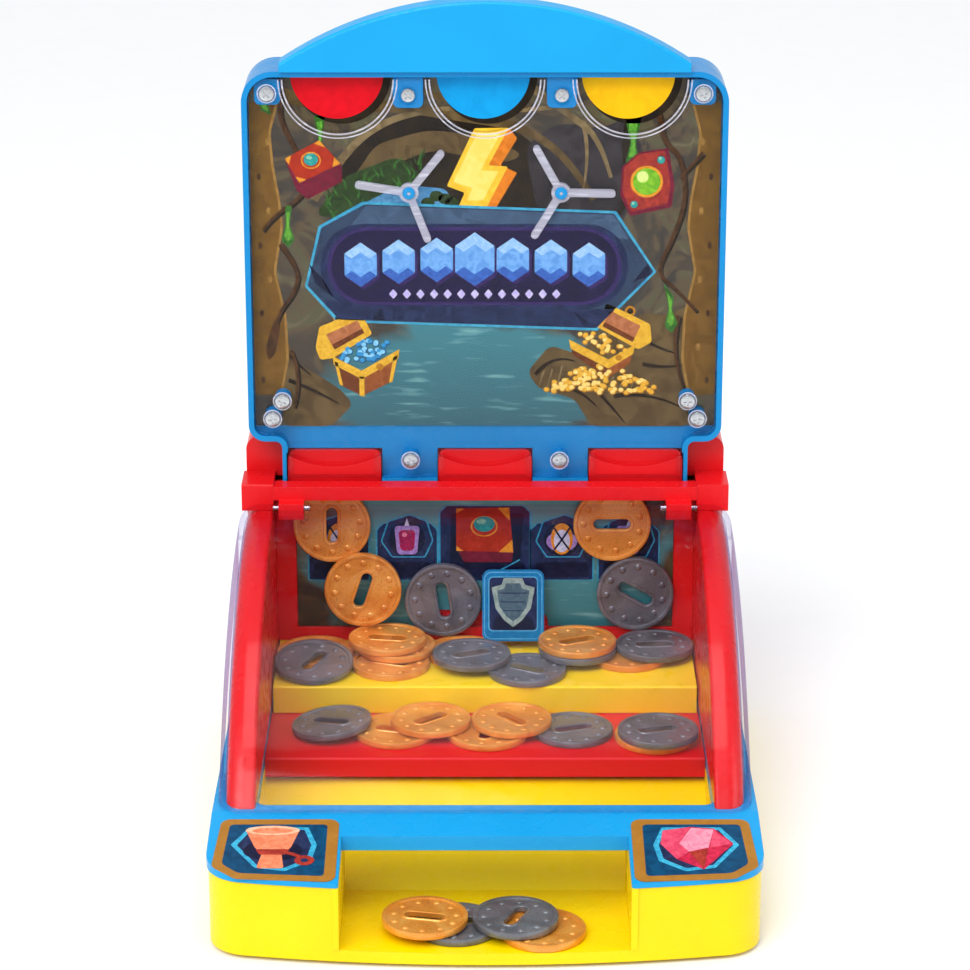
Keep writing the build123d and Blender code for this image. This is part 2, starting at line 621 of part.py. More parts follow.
door = block((bay_x[0] + door_in, bay_x[1] - door_in), (bay_s[0] + door_in, bay_s[1] - door_in),
             (foot_h, foot_h + 2.2))
door_screw_x = bay_x[1] - 6
door_screw_s = (bay_s[0] + bay_s[1]) / 2
door -= rod_z(head_r + fit, door_screw_x, door_screw_s, 0, foot_h + 1.2)
door -= rod_z(screw_r + seat, door_screw_x, door_screw_s, 0, 10)
save("battery_door", door)
save("door_screw", rod_z(head_r, door_screw_x, door_screw_s, foot_h + 0.1, foot_h + 1.15)
     + rod_z(screw_r, door_screw_x, door_screw_s, foot_h + 1.1, foot_h + 2.6))
switch = block((switch_x - 9, switch_x + 9), (depth - wall - 6.5, depth - wall - seat),
               (floor_z + seat, switch_z + 4.5))
switch -= block((switch_x - switch_travel - 3, switch_x + switch_travel + 3), (depth - wall - 4, depth),
                (switch_z - 1.6, switch_z + 1.6))
save("switch_body", switch)
knob = block((switch_x - knob_w / 2, switch_x + knob_w / 2), (depth - wall - 3.7, depth - fit),
             (switch_z - 1.3, switch_z + 1.3))
save("switch_knob", knob)

# ---- tokens and the prize tile -----------------------------------------------------------------
def token(turn=0.0):
    """A slotted token lying on its centre, its slot turned by some degrees."""
    disc = Cylinder(token_r, token_t)
    disc = chamfer(disc.edges(), 0.3)
    return Rot(0, 0, turn) * (disc - extrude(SlotOverall(slot_len, slot_w), token_t, both=True))


pile = token_t + token_gap


def lying(x, s, base, layer, turn=0.0):
    z = base + token_gap + token_t / 2 + layer * pile
    return Pos(x, front + s, z) * token(turn)


def leaning(x, s, base, over, turn=0.0):
    """One edge on the base, the other on the rim of the token at 'over'."""
    dx, ds = over[0] - x, over[1] - s
    away = hypot(dx, ds)
    tilt = atan2(pile + 0.15, away)
    heading = degrees(atan2(ds, dx))
    z = base + token_gap + 0.1 + token_r * sin(tilt) + token_t / 2 * cos(tilt)
    return Pos(x, front + s, z) * Rot(0, 0, heading) * Rot(0, -degrees(tilt), 0) * token(turn - heading)


def standing(x, s, z, turn=0.0):
    return Pos(x, front + s, z) * Rot(90, 0, 0) * token(turn)


tray_z = floor_z
save("tray_tokens_gold", lying(-19.4, 17.9, tray_z, 1, -12), lying(18.6, 14.3, tray_z, 0, 60))
save("tray_tokens_silver", lying(-9.2, 18.3, tray_z, 0, 20), lying(9.9, 17.9, tray_z, 1, 66))

field_z = token_deck_top
edge = shelf_s - token_r - 0.5
save("deck_tokens_gold", lying(-31.4, edge - 3.8, field_z, 0, -15), lying(-19.0, edge, field_z, 1, 40),
     lying(0.7, edge - 5.6, field_z, 0, 80), lying(9.3, edge - 0.2, field_z, 1, -50),
     lying(59.0, edge - 8.2, field_z, 0, 10))
save("deck_tokens_silver", leaning(-53.5, edge - 1.0, field_z, (-31.4, edge - 3.8), -25),
     lying(30.7, edge - 3.0, field_z, 0, 18), lying(60.0, edge - 9.7, field_z, 1, 14))

rear = wall_s - token_r - 0.6
stand_s = wall_s - fit - token_t / 2
third = shelf_top + 3 * pile
dark_x, high_x = 54.5, 45.8
dark_z = shelf_top + 2 * pile + token_gap + token_r
high_z = dark_z + (4 * (token_r + 0.05) ** 2 - (dark_x - high_x) ** 2) ** 0.5
save("shelf_tokens_gold",
     lying(-61.0, rear, shelf_top, 0, 12), lying(-33.8, rear - 10.9, shelf_top, 0, -20),
     lying(-31.8, rear - 0.4, shelf_top, 1, -30), lying(-35.2, rear, shelf_top, 2, -8),
     lying(-7.6, rear, shelf_top, 0, 8), lying(51.6, rear - 2.9, shelf_top, 0, -35),
     lying(33.2, rear - 2.4, shelf_top, 2, 25),
     standing(-44.2, stand_s - pile, third + token_r, 72))
save("wall_tokens_gold", standing(-55.2, wall_s - seat - token_t / 2, third + token_r + 23.9, 90),
     standing(high_x, wall_s - seat - token_t / 2, high_z, 0))
save("shelf_tokens_silver",
     leaning(-61.0, rear - 15.4, shelf_top, (-61.0, rear), 60), lying(-4.8, rear - 8.9, shelf_top, 1, 22),
     lying(15.0, rear - 17.0, shelf_top, 0, -30), lying(33.3, rear - 2.9, shelf_top, 1, 60),
     lying(61.2, rear, shelf_top, 1, 4), standing(-15.2, stand_s, shelf_top + pile + token_gap + token_r, 98),
     standing(dark_x, stand_s, dark_z, -30))

tile_w, tile_h, tile_t = 22.4, 26.0, 1.4
tile_lean = 15.0
tile = extrude(RectangleRounded(tile_w, tile_h, 3.0), tile_t)
tile = Rot(90 - tile_lean, 0, 0) * Pos(0, tile_h / 2, 0) * tile
tile = Pos(10.2, front + rear + 6.6, shelf_top + pile + 0.6) * tile
save("prize_tile", tile)
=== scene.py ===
"""A table-top coin pusher toy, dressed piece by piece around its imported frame.

Sizes in the sections are millimetres, as a maker would state them. Depths are setbacks: distances
behind the front of the base. Every piece is turned to metres when it is placed.
"""
import bmesh
import bpy
import random
from math import atan2, copysign, cos, hypot, pi, radians, sin
from mathutils import Matrix, Vector


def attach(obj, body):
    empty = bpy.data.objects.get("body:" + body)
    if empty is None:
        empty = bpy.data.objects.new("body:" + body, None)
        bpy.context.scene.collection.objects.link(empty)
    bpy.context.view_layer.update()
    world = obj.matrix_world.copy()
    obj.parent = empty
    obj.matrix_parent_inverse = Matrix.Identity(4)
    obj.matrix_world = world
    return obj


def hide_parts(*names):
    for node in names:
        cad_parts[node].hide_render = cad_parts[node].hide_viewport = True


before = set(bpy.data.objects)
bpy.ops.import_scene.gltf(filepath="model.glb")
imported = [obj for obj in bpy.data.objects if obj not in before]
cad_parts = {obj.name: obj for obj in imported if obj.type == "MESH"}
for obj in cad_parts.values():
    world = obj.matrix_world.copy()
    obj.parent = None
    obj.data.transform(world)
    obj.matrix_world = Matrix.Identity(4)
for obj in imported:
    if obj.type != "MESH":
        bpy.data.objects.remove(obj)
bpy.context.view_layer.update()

# ---- camera --------------------------------------------------------------------------------
# A long lens, a little above the machine, looking down at it from straight in front.
lens = bpy.data.cameras.new("front_view")
lens.lens = 122.47
lens.sensor_width = 36.0
camera = bpy.data.objects.new("front_view", lens)
camera.location = (0.0, -1.0518, 0.4877)
camera.rotation_euler = (radians(71.0), 0.0, 0.0)
bpy.context.scene.collection.objects.link(camera)
bpy.context.scene.camera = camera


# ---- studio --------------------------------------------------------------------------------
# A white table top that runs out of sight, an even white room, one broad soft key light and
# three soft boxes whose only job is the long highlights on glossy mouldings.
def linear(paint):
    """An sRGB hex colour as linear red, green, blue and 1."""
    parts = [int(paint[i:i + 2], 16) / 255 for i in (1, 3, 5)]
    return [c / 12.92 if c <= 0.04045 else ((c + 0.055) / 1.055) ** 2.4 for c in parts] + [1.0]


def add(finish, kind, inputs=None, **settings):
    """Adds a node to a material; an input is a value or another node's output."""
    made = finish.node_tree.nodes.new(kind)
    for name, value in settings.items():
        setattr(made, name, value)
    for name, value in (inputs or {}).items():
        if isinstance(value, bpy.types.NodeSocket):
            finish.node_tree.links.new(value, made.inputs[name])
        else:
            made.inputs[name].default_value = value
    return made


floor_finish = bpy.data.materials.new("matt_white_laminate")
floor_finish.use_nodes = True
laminate = floor_finish.node_tree.nodes["Principled BSDF"]
laminate.inputs["Roughness"].default_value = 0.7
speck = add(floor_finish, "ShaderNodeTexNoise", {"Scale": 900.0, "Detail": 2.0})
speck_mix = add(floor_finish, "ShaderNodeMixRGB", {
    "Fac": speck.outputs["Fac"], "Color1": linear("#F6F6F6"), "Color2": linear("#F9F9F9")})
floor_finish.node_tree.links.new(speck_mix.outputs["Color"], laminate.inputs["Base Color"])
table_top = bmesh.new()
bmesh.ops.create_grid(table_top, x_segments=2, y_segments=2, size=9.0,
                      matrix=Matrix.Translation((0, 0, -0.0004)))
table_mesh = bpy.data.meshes.new("table_top")
table_top.to_mesh(table_mesh)
table_top.free()
table_mesh.materials.append(floor_finish)
table = bpy.data.objects.new("table_top", table_mesh)
bpy.context.scene.collection.objects.link(table)

room = bpy.data.worlds.new("white_room")
room.use_nodes = True
room.node_tree.nodes["Background"].inputs["Color"].default_value = linear("#F7F9FC")
room.node_tree.nodes["Background"].inputs["Strength"].default_value = 0.72
bpy.context.scene.world = room
bpy.context.scene.view_settings.view_transform = "Standard"

key = bpy.data.lights.new("key", "SUN")
key.energy = 1.35
key.angle = radians(35)
key_holder = bpy.data.objects.new("key", key)
key_holder.rotation_euler = (radians(38), radians(-20), 0)
bpy.context.scene.collection.objects.link(key_holder)
for box_name, place, size, power in (("soft_box_left", (-0.75, -0.55, 0.75), 0.55, 2.6),
                                     ("soft_box_right", (0.85, -0.35, 0.60), 0.45, 1.6),
                                     ("soft_box_top", (0.0, -0.15, 1.15), 0.60, 3.0)):
    lamp = bpy.data.lights.new(box_name, "AREA")
    lamp.energy = power
    lamp.size = size
    holder = bpy.data.objects.new(box_name, lamp)
    holder.location = place
    aim = Vector((0.0, 0.0, 0.1)) - Vector(place)
    holder.rotation_euler = aim.to_track_quat("-Z", "Y").to_euler()
    bpy.context.scene.collection.objects.link(holder)


# ---- base tub, pusher shelf and battery door: yellow ABS -----------------------------------
# Injection-moulded ABS from a polished tool: a glossy skin with a very fine orange peel, faint
# flow clouds in the colour, and edges rounded by about a third of a millimetre.
def moulded_abs(name, paint, deep, gloss=0.27):
    finish = bpy.data.materials.new(name)
    finish.use_nodes = True
    skin = finish.node_tree.nodes["Principled BSDF"]
    skin.inputs["IOR"].default_value = 1.54
    skin.inputs["Specular IOR Level"].default_value = 0.22
    place = add(finish, "ShaderNodeTexCoord").outputs["Object"]
    flow = add(finish, "ShaderNodeTexNoise", {"Vector": place, "Scale": 1 / 0.040, "Detail": 3.0,
                                              "Distortion": 0.6})
    tone = add(finish, "ShaderNodeMapRange", {"Value": flow.outputs["Fac"], "From Min": 0.35,
                                              "From Max": 0.75, "To Min": 0.0, "To Max": 0.45})
    colour = add(finish, "ShaderNodeMixRGB", {"Fac": tone.outputs["Result"], "Color1": linear(paint),
                                              "Color2": linear(deep)})
    rub = add(finish, "ShaderNodeTexNoise", {"Vector": place, "Scale": 1 / 0.009, "Detail": 4.0})
    sheen = add(finish, "ShaderNodeMapRange", {"Value": rub.outputs["Fac"], "From Min": 0.3,
                                               "From Max": 0.7, "To Min": gloss - 0.05,
                                               "To Max": gloss + 0.07})
    edges = add(finish, "ShaderNodeBevel", {"Radius": 0.00035}, samples=4)
    peel = add(finish, "ShaderNodeTexNoise", {"Vector": place, "Scale": 1 / 0.0016, "Detail": 1.0})
    bump = add(finish, "ShaderNodeBump", {"Height": peel.outputs["Fac"], "Strength": 0.10,
                                          "Distance": 0.00006, "Normal": edges.outputs["Normal"]})
    join = finish.node_tree.links.new
    join(colour.outputs["Color"], skin.inputs["Base Color"])
    join(sheen.outputs["Result"], skin.inputs["Roughness"])
    join(bump.outputs["Normal"], skin.inputs["Normal"])
    return finish


def dress(finish, *nodes):
    for node in nodes:
        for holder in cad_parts[node].material_slots:
            holder.link = "OBJECT"
            holder.material = finish


yellow_abs = moulded_abs("yellow_abs_glossy", "#FBDA00", "#F0CB00")
dress(yellow_abs, "base_tub", "pusher_shelf", "battery_door")

# ---- top deck, header frame, header rear cover and crest: blue ABS --------------------------
# The same moulded ABS. The crest comes from its own, slightly lighter batch.
blue_abs = moulded_abs("blue_abs_glossy", "#0588CA", "#047CBC")
deck_abs = moulded_abs("light_blue_abs_glossy", "#0F9BDA", "#0A90CE")
crest_abs = moulded_abs("sky_blue_abs_glossy", "#079DDA", "#0493D0", gloss=0.33)
dress(blue_abs, "header_frame", "header_rear_cover")
dress(deck_abs, "top_deck")
dress(crest_abs, "marquee_crest")

# ---- token deck, back wall, side walls, housing, crossbar, scoops: red ABS -------------------
# Red ABS; on the token deck and the scoops a little duller where tokens rub it, and darker as painted
# shade.
red_abs = moulded_abs("red_abs_glossy", "#E0141B", "#CE1016")
# painted shade: the token deck and scoops take a slightly darker red; their rougher gloss is rubbing
rubbed_and_shaded_red_abs = moulded_abs("red_abs_rubbed_painted_shade", "#DC1119", "#C90E15", gloss=0.36)
dress(red_abs, "back_wall", "side_wall_left", "side_wall_right", "rear_housing", "crossbar")
dress(rubbed_and_shaded_red_abs, "token_deck", "token_scoops")

# ---- drive, batteries, switch: the parts inside the base -------------------------------------
# White acetal gears with a waxy skin, black ABS housings with a fine spark-eroded grain.
black_abs = moulded_abs("black_abs_eroded", "#17181A", "#0F1011", gloss=0.5)
white_acetal = moulded_abs("white_acetal_waxy", "#EDEBE4", "#E2DFD6", gloss=0.4)
dress(black_abs, "gearbox_plate", "battery_box", "switch_body", "switch_knob")
dress(white_acetal, "follower_post", "cam_gear", "idler_gear", "motor_pinion")


def drawn_metal(name, paint, deep, gloss, grain):
    """Plated or drawn metal: bright, with fine lines from the die or the plating bath."""
    finish = bpy.data.materials.new(name)
    finish.use_nodes = True
    skin = finish.node_tree.nodes["Principled BSDF"]
    skin.inputs["Metallic"].default_value = 1.0
    place = add(finish, "ShaderNodeTexCoord").outputs["Object"]
    lines = add(finish, "ShaderNodeTexNoise", {"Vector": place, "Scale": 1 / grain, "Detail": 5.0,
                                               "Roughness": 0.65})
    colour = add(finish, "ShaderNodeMixRGB", {"Fac": lines.outputs["Fac"], "Color1": linear(paint),
                                              "Color2": linear(deep)})
    dull = add(finish, "ShaderNodeMapRange", {"Value": lines.outputs["Fac"], "From Min": 0.3,
                                              "From Max": 0.7, "To Min": gloss - 0.06,
                                              "To Max": gloss + 0.10})
    finish.node_tree.links.new(colour.outputs["Color"], skin.inputs["Base Color"])
    finish.node_tree.links.new(dull.outputs["Result"], skin.inputs["Roughness"])
    return finish


zinc = drawn_metal("zinc_plated_steel", "#D8DADC", "#AEB2B6", 0.24, 0.0011)
bright_steel = drawn_metal("bright_drawn_steel", "#C9CCD0", "#A9ADB2", 0.2, 0.0008)
motor_can = drawn_metal("nickel_plated_can", "#C4C3BE", "#A4A29B", 0.3, 0.0024)
dress(zinc, "battery_contacts", "door_screw", "base_screws")
dress(bright_steel, "spinner_pin_left", "spinner_pin_right", "hinge_pins", "gear_axles")
dress(motor_can, "motor")

# Each cell wears a printed shrink sleeve: a coloured band at one end, dark over the rest.
cell_sleeve = bpy.data.materials.new("shrink_sleeve_two_tone")
cell_sleeve.use_nodes = True
sleeve_skin = cell_sleeve.node_tree.nodes["Principled BSDF"]
sleeve_place = add(cell_sleeve, "ShaderNodeTexCoord").outputs["Object"]
along = add(cell_sleeve, "ShaderNodeSeparateXYZ", {"Vector": sleeve_place})
band = add(cell_sleeve, "ShaderNodeMapRange", {"Value": along.outputs["X"], "From Min": -0.0350,
                                               "From Max": -0.0346})
sleeve_colour = add(cell_sleeve, "ShaderNodeMixRGB", {
    "Fac": band.outputs["Result"], "Color1": linear("#20242A"), "Color2": linear("#2E8F4E")})
scuffs = add(cell_sleeve, "ShaderNodeTexNoise", {"Vector": sleeve_place, "Scale": 260.0})
sleeve_dull = add(cell_sleeve, "ShaderNodeMapRange", {"Value": scuffs.outputs["Fac"], "To Min": 0.2,
                                                      "To Max": 0.45})
cell_sleeve.node_tree.links.new(sleeve_colour.outputs["Color"], sleeve_skin.inputs["Base Color"])
cell_sleeve.node_tree.links.new(sleeve_dull.outputs["Result"], sleeve_skin.inputs["Roughness"])
dress(cell_sleeve, "batteries")

# ---- rubber feet -----------------------------------------------------------------------------
# Four soft black discs under the tub, rounded at the rim, with a ring of grip grooves.
mm = 0.001
depth = 216.0


def back(setback):
    """The y of a setback."""
    return setback - depth / 2


def place_piece(name, shape, finishes, body, slot, *nodes, flat_above=35.0):
    """Turns a bmesh in millimetres into a piece that rides on a body and wears the given finishes; the
    slot is not used.
    """
    bmesh.ops.transform(shape, matrix=Matrix.Scale(mm, 4), verts=shape.verts[:])
    mesh = bpy.data.meshes.new(name)
    shape.to_mesh(mesh)
    shape.free()
    for finish in finishes:
        mesh.materials.append(finish)
    for face in mesh.polygons:
        face.use_smooth = True
    mesh.set_sharp_from_angle(angle=radians(flat_above))
    piece = bpy.data.objects.new(name, mesh)
    bpy.context.scene.collection.objects.link(piece)
    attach(piece, body)
    if nodes:
        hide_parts(*nodes)
    return piece


def push_in(shape, ring, radius, z):
    """The next ring of a turned shape: the last ring's edges drawn out to a radius and height."""
    made = bmesh.ops.extrude_edge_only(shape, edges=ring)["geom"]
    for v in made:
        if isinstance(v, bmesh.types.BMVert):
            angle = atan2(v.co.y, v.co.x)
            v.co = (radius * cos(angle), radius * sin(angle), z)
    return [e for e in made if isinstance(e, bmesh.types.BMEdge)]


def turned(rings, steps=32):
    """A turned solid standing on Z; its (radius, height) rings run from one face to the other."""
    shape = bmesh.new()
    bmesh.ops.create_circle(shape, segments=steps, radius=rings[0][0], cap_ends=True,
                            matrix=Matrix.Translation((0, 0, rings[0][1])))
    ring = [e for e in shape.edges if e.is_boundary]
    for radius, z in rings[1:]:
        ring = push_in(shape, ring, radius, z)
    bmesh.ops.contextual_create(shape, geom=ring)
    bmesh.ops.recalc_face_normals(shape, faces=shape.faces[:])
    return shape


def copied_into(shape, part, matrix, material=0):
    """Copies a small bmesh into a bigger one, at a place; the small one stays for more copies."""
    spare = bpy.data.meshes.new("spare")
    part.to_mesh(spare)
    spare.transform(matrix)
    if matrix.determinant() < 0:
        spare.flip_normals()
    before = len(shape.faces)
    shape.from_mesh(spare)
    bpy.data.meshes.remove(spare)
    shape.faces.ensure_lookup_table()
    for face in shape.faces[before:]:
        face.material_index += material


rubber = moulded_abs("black_rubber_matt", "#1B1B1C", "#242425", gloss=0.72)
foot = turned([(5.4, 0.0), (5.9, 0.15), (6.0, 0.5), (6.0, 1.0)])
grip = [f for f in foot.faces if len(f.verts) > 8 and f.calc_center_median().z < 0.1]
for inset_by, sunk in ((1.0, 0.0), (0.5, 0.18), (1.0, 0.0), (0.5, -0.18)):
    bmesh.ops.inset_region(foot, faces=grip, thickness=inset_by, depth=-sunk)
feet = bmesh.new()
for x in (-79.0, 79.0):
    for s in (26.0, 202.0):
        copied_into(feet, foot, Matrix.Translation((x, back(s), 0)))
foot.free()
place_piece("rubber_feet_grooved", feet, [rubber], "root", "rubber_feet", "rubber_feet")


# ---- stickers on the wings -------------------------------------------------------------------
# Die-cut vinyl stickers: a brown border, a deep teal field with a dark cut-stone plate, and a
# plain goblet on the left and a rose gem on the right, printed in layers and varnished.
def ink(name, paint, deep, cloud=3.0, gloss=0.3):
    """Printed ink under varnish: two close tones in soft brush strokes."""
    finish = bpy.data.materials.new(name)
    finish.use_nodes = True
    skin = finish.node_tree.nodes["Principled BSDF"]
    skin.inputs["Specular IOR Level"].default_value = 0.12
    place = add(finish, "ShaderNodeTexCoord").outputs["Object"]
    strokes = add(finish, "ShaderNodeTexNoise", {"Vector": place, "Scale": 1 / (cloud * mm),
                                                 "Detail": 4.0, "Distortion": 1.2})
    tone = add(finish, "ShaderNodeMapRange", {"Value": strokes.outputs["Fac"], "From Min": 0.38,
                                              "From Max": 0.62})
    colour = add(finish, "ShaderNodeMixRGB", {"Fac": tone.outputs["Result"], "Color1": linear(paint),
                                              "Color2": linear(deep)})
    varnish = add(finish, "ShaderNodeMapRange", {"Value": strokes.outputs["Fac"],
                                                 "To Min": gloss - 0.04, "To Max": gloss + 0.06})
    finish.node_tree.links.new(colour.outputs["Color"], skin.inputs["Base Color"])
    finish.node_tree.links.new(varnish.outputs["Result"], skin.inputs["Roughness"])
    return finish


film = 0.02                 # one layer of ink; real ink is thinner, but would not part here


def lay(sheet, colour, patch, level):
    """Prints one patch, drawn flat on XY, on a sheet; a higher level covers a lower one."""
    if colour not in sheet["inks"]:
        sheet["inks"].append(colour)
    for face in patch.faces:
        face.material_index = 0
    copied_into(sheet["print"], patch, Matrix.Translation((0, 0, film * level)),
                sheet["inks"].index(colour))
    patch.free()


def lay_outline(sheet, colour, outline, level, rounding=0.0):
    """A filled outline with its corners rounded."""
    patch = bmesh.new()
    patch.faces.new([patch.verts.new((u, v, 0)) for u, v in outline])
    if rounding:
        bmesh.ops.bevel(patch, geom=patch.verts[:], offset=rounding, offset_type="OFFSET",
                        affect="VERTICES", segments=5, profile=0.5, material=-1,
                        clamp_overlap=True)
    bmesh.ops.triangulate(patch, faces=patch.faces[:])
    for face in patch.faces:
        face.normal_update()
        if face.normal.z < 0:
            face.normal_flip()
    lay(sheet, colour, patch, level)


def lay_disc(sheet, colour, centre, radius, level, squash=1.0, sides=28):
    patch = bmesh.new()
    bmesh.ops.create_circle(patch, cap_ends=True, segments=sides, radius=radius,
                            matrix=Matrix.Translation((*centre, 0)) @ Matrix.Diagonal((1, squash, 1, 1)))
    lay(sheet, colour, patch, level)


def lay_stroke(sheet, colour, route, width, level, thin_end=1.0):
    """A brush stroke along a smooth line, tapering to its end."""
    line = bpy.data.curves.new("stroke", "CURVE")
    line.dimensions = "3D"
    spline = line.splines.new("NURBS")
    spline.points.add(len(route) - 1)
    for k, (point, (u, v)) in enumerate(zip(spline.points, route)):
        point.co = (u, v, 0, 1)
        point.radius = 1 + (thin_end - 1) * k / (len(route) - 1)
    spline.order_u = 3
    spline.use_endpoint_u = True
    line.bevel_depth = width / 2
    line.bevel_resolution = 1
    line.use_fill_caps = True
    brush = bpy.data.objects.new("stroke", line)
    made = bpy.data.meshes.new_from_object(brush)
    patch = bmesh.new()
    patch.from_mesh(made)
    bmesh.ops.scale(patch, vec=(1, 1, 0.4 * film / width), verts=patch.verts[:])
    bpy.data.objects.remove(brush)
    bpy.data.meshes.remove(made)
    lay(sheet, colour, patch, level)


def place_print(name, sheet, matrix, body, slot):
    bmesh.ops.transform(sheet["print"], matrix=matrix, verts=sheet["print"].verts[:])
    return place_piece(name, sheet["print"], sheet["inks"], body, slot)


border_ink = ink("brown_sticker_ink", "#A9742C", "#A06C26", 6.0)
dress(border_ink, "sticker_left", "sticker_right")
teal_ink = ink("deep_teal_ink", "#074A70", "#04385A", 5.0)
plate_ink = ink("slate_ink", "#27345A", "#1B2444", 4.0)
plate_deep_ink = ink("dark_slate_ink", "#171C3A", "#11142C", 4.0)
cyan_ink = ink("cyan_edge_ink", "#3FB4D4", "#2C8FB8", 2.0)
clay_ink = ink("clay_ink", "#E98E68", "#D97650", 2.5)
clay_light_ink = ink("pale_clay_ink", "#F6BE9C", "#EFA67F", 2.5)
brick_ink = ink("brick_ink", "#B23A2C", "#8E2A22", 2.0)
rose_ink = ink("rose_ink", "#D32A4C", "#A81A38", 3.0)
rose_light_ink = ink("pale_rose_ink", "#F29AAE", "#E77A94", 3.0)
rose_mid_ink = ink("mid_rose_ink", "#E5536F", "#CF3A5A", 3.0)

wing_slope = atan2(5.8, 45.0)
wing = Matrix.Translation((0, back(0), 28.22)) @ Matrix.Rotation(wing_slope, 4, "X") @ Matrix.Translation(
    (0, 0, 0.3))
for name, side in (("sticker_print_left", -1), ("sticker_print_right", 1)):
    sheet = {"print": bmesh.new(), "inks": []}
    field = [(51.2, 6.2), (78.6, 8.0), (84.2, 13.4), (83.0, 36.8), (51.2, 36.8)]
    plate = [(54.2, 24.5), (57.4, 35.0), (76.6, 35.0), (82.0, 24.5), (73.5, 11.0), (63.8, 9.0),
             (55.6, 15.0)]
    inner = [(56.0, 24.5), (58.6, 33.4), (75.8, 33.4), (80.0, 24.3), (72.8, 12.6), (64.2, 10.8),
             (57.2, 16.2)]
    for colour, outline, level, rounding in ((teal_ink, field, 1, 1.6), (cyan_ink, plate, 2, 0.5),
                                             (plate_ink, inner, 3, 0.5)):
        lay_outline(sheet, colour, [(side * u, v) for u, v in outline], level, rounding)
    if side > 0:
        lay_outline(sheet, rose_ink, [(56.6, 25.0), (57.6, 33.0), (66.7, 35.2), (74.4, 34.2),
                                      (80.2, 25.2),
                                      (69.8, 10.0), (61.4, 16.0)], 4, 0.4)
        lay_outline(sheet, rose_mid_ink, [(56.6, 25.0), (57.6, 33.0), (66.7, 35.2), (62.6, 25.0),
                                          (65.6, 20.4), (61.4, 16.0)], 5, 0.3)
        lay_outline(sheet, rose_light_ink, [(62.6, 25.2), (66.9, 34.6), (74.2, 33.6), (72.0, 22.8),
                                            (65.6, 20.4)], 6, 0.3)
        lay_outline(sheet, rose_mid_ink, [(74.2, 33.4), (79.4, 25.2), (72.4, 22.6)], 6, 0.3)
        lay_outline(sheet, brick_ink, [(65.6, 20.2), (71.8, 22.4), (69.8, 10.4)], 6, 0.2)
    else:
        lay_disc(sheet, plate_deep_ink, (-68.2, 21.0), 9.6, 4, 0.62)
        lay_outline(sheet, clay_ink, [(-77.6, 33.0), (-60.2, 33.0), (-62.6, 22.4), (-65.4, 19.6),
                                      (-64.2, 10.6), (-73.0, 10.6), (-71.6, 19.6), (-74.0, 22.4)], 5, 1.2)
        lay_outline(sheet, brick_ink, [(-73.8, 21.8), (-62.8, 21.8), (-64.2, 18.6), (-72.4, 18.6)], 6,
                    0.6)
        lay_disc(sheet, clay_light_ink, (-68.9, 33.0), 8.8, 7, 0.32)
        lay_disc(sheet, clay_ink, (-68.9, 32.8), 6.6, 8, 0.26)
        lay_disc(sheet, brick_ink, (-57.8, 15.2), 3.2, 8, 0.9)
        lay_stroke(sheet, brick_ink, [(-63.6, 19.6), (-61.0, 18.8), (-58.4, 16.4)], 1.6, 9)
        lay_disc(sheet, plate_ink, (-57.8, 15.2), 1.2, 9)
    place_print(name, sheet, wing, "root", "printed_sticker")


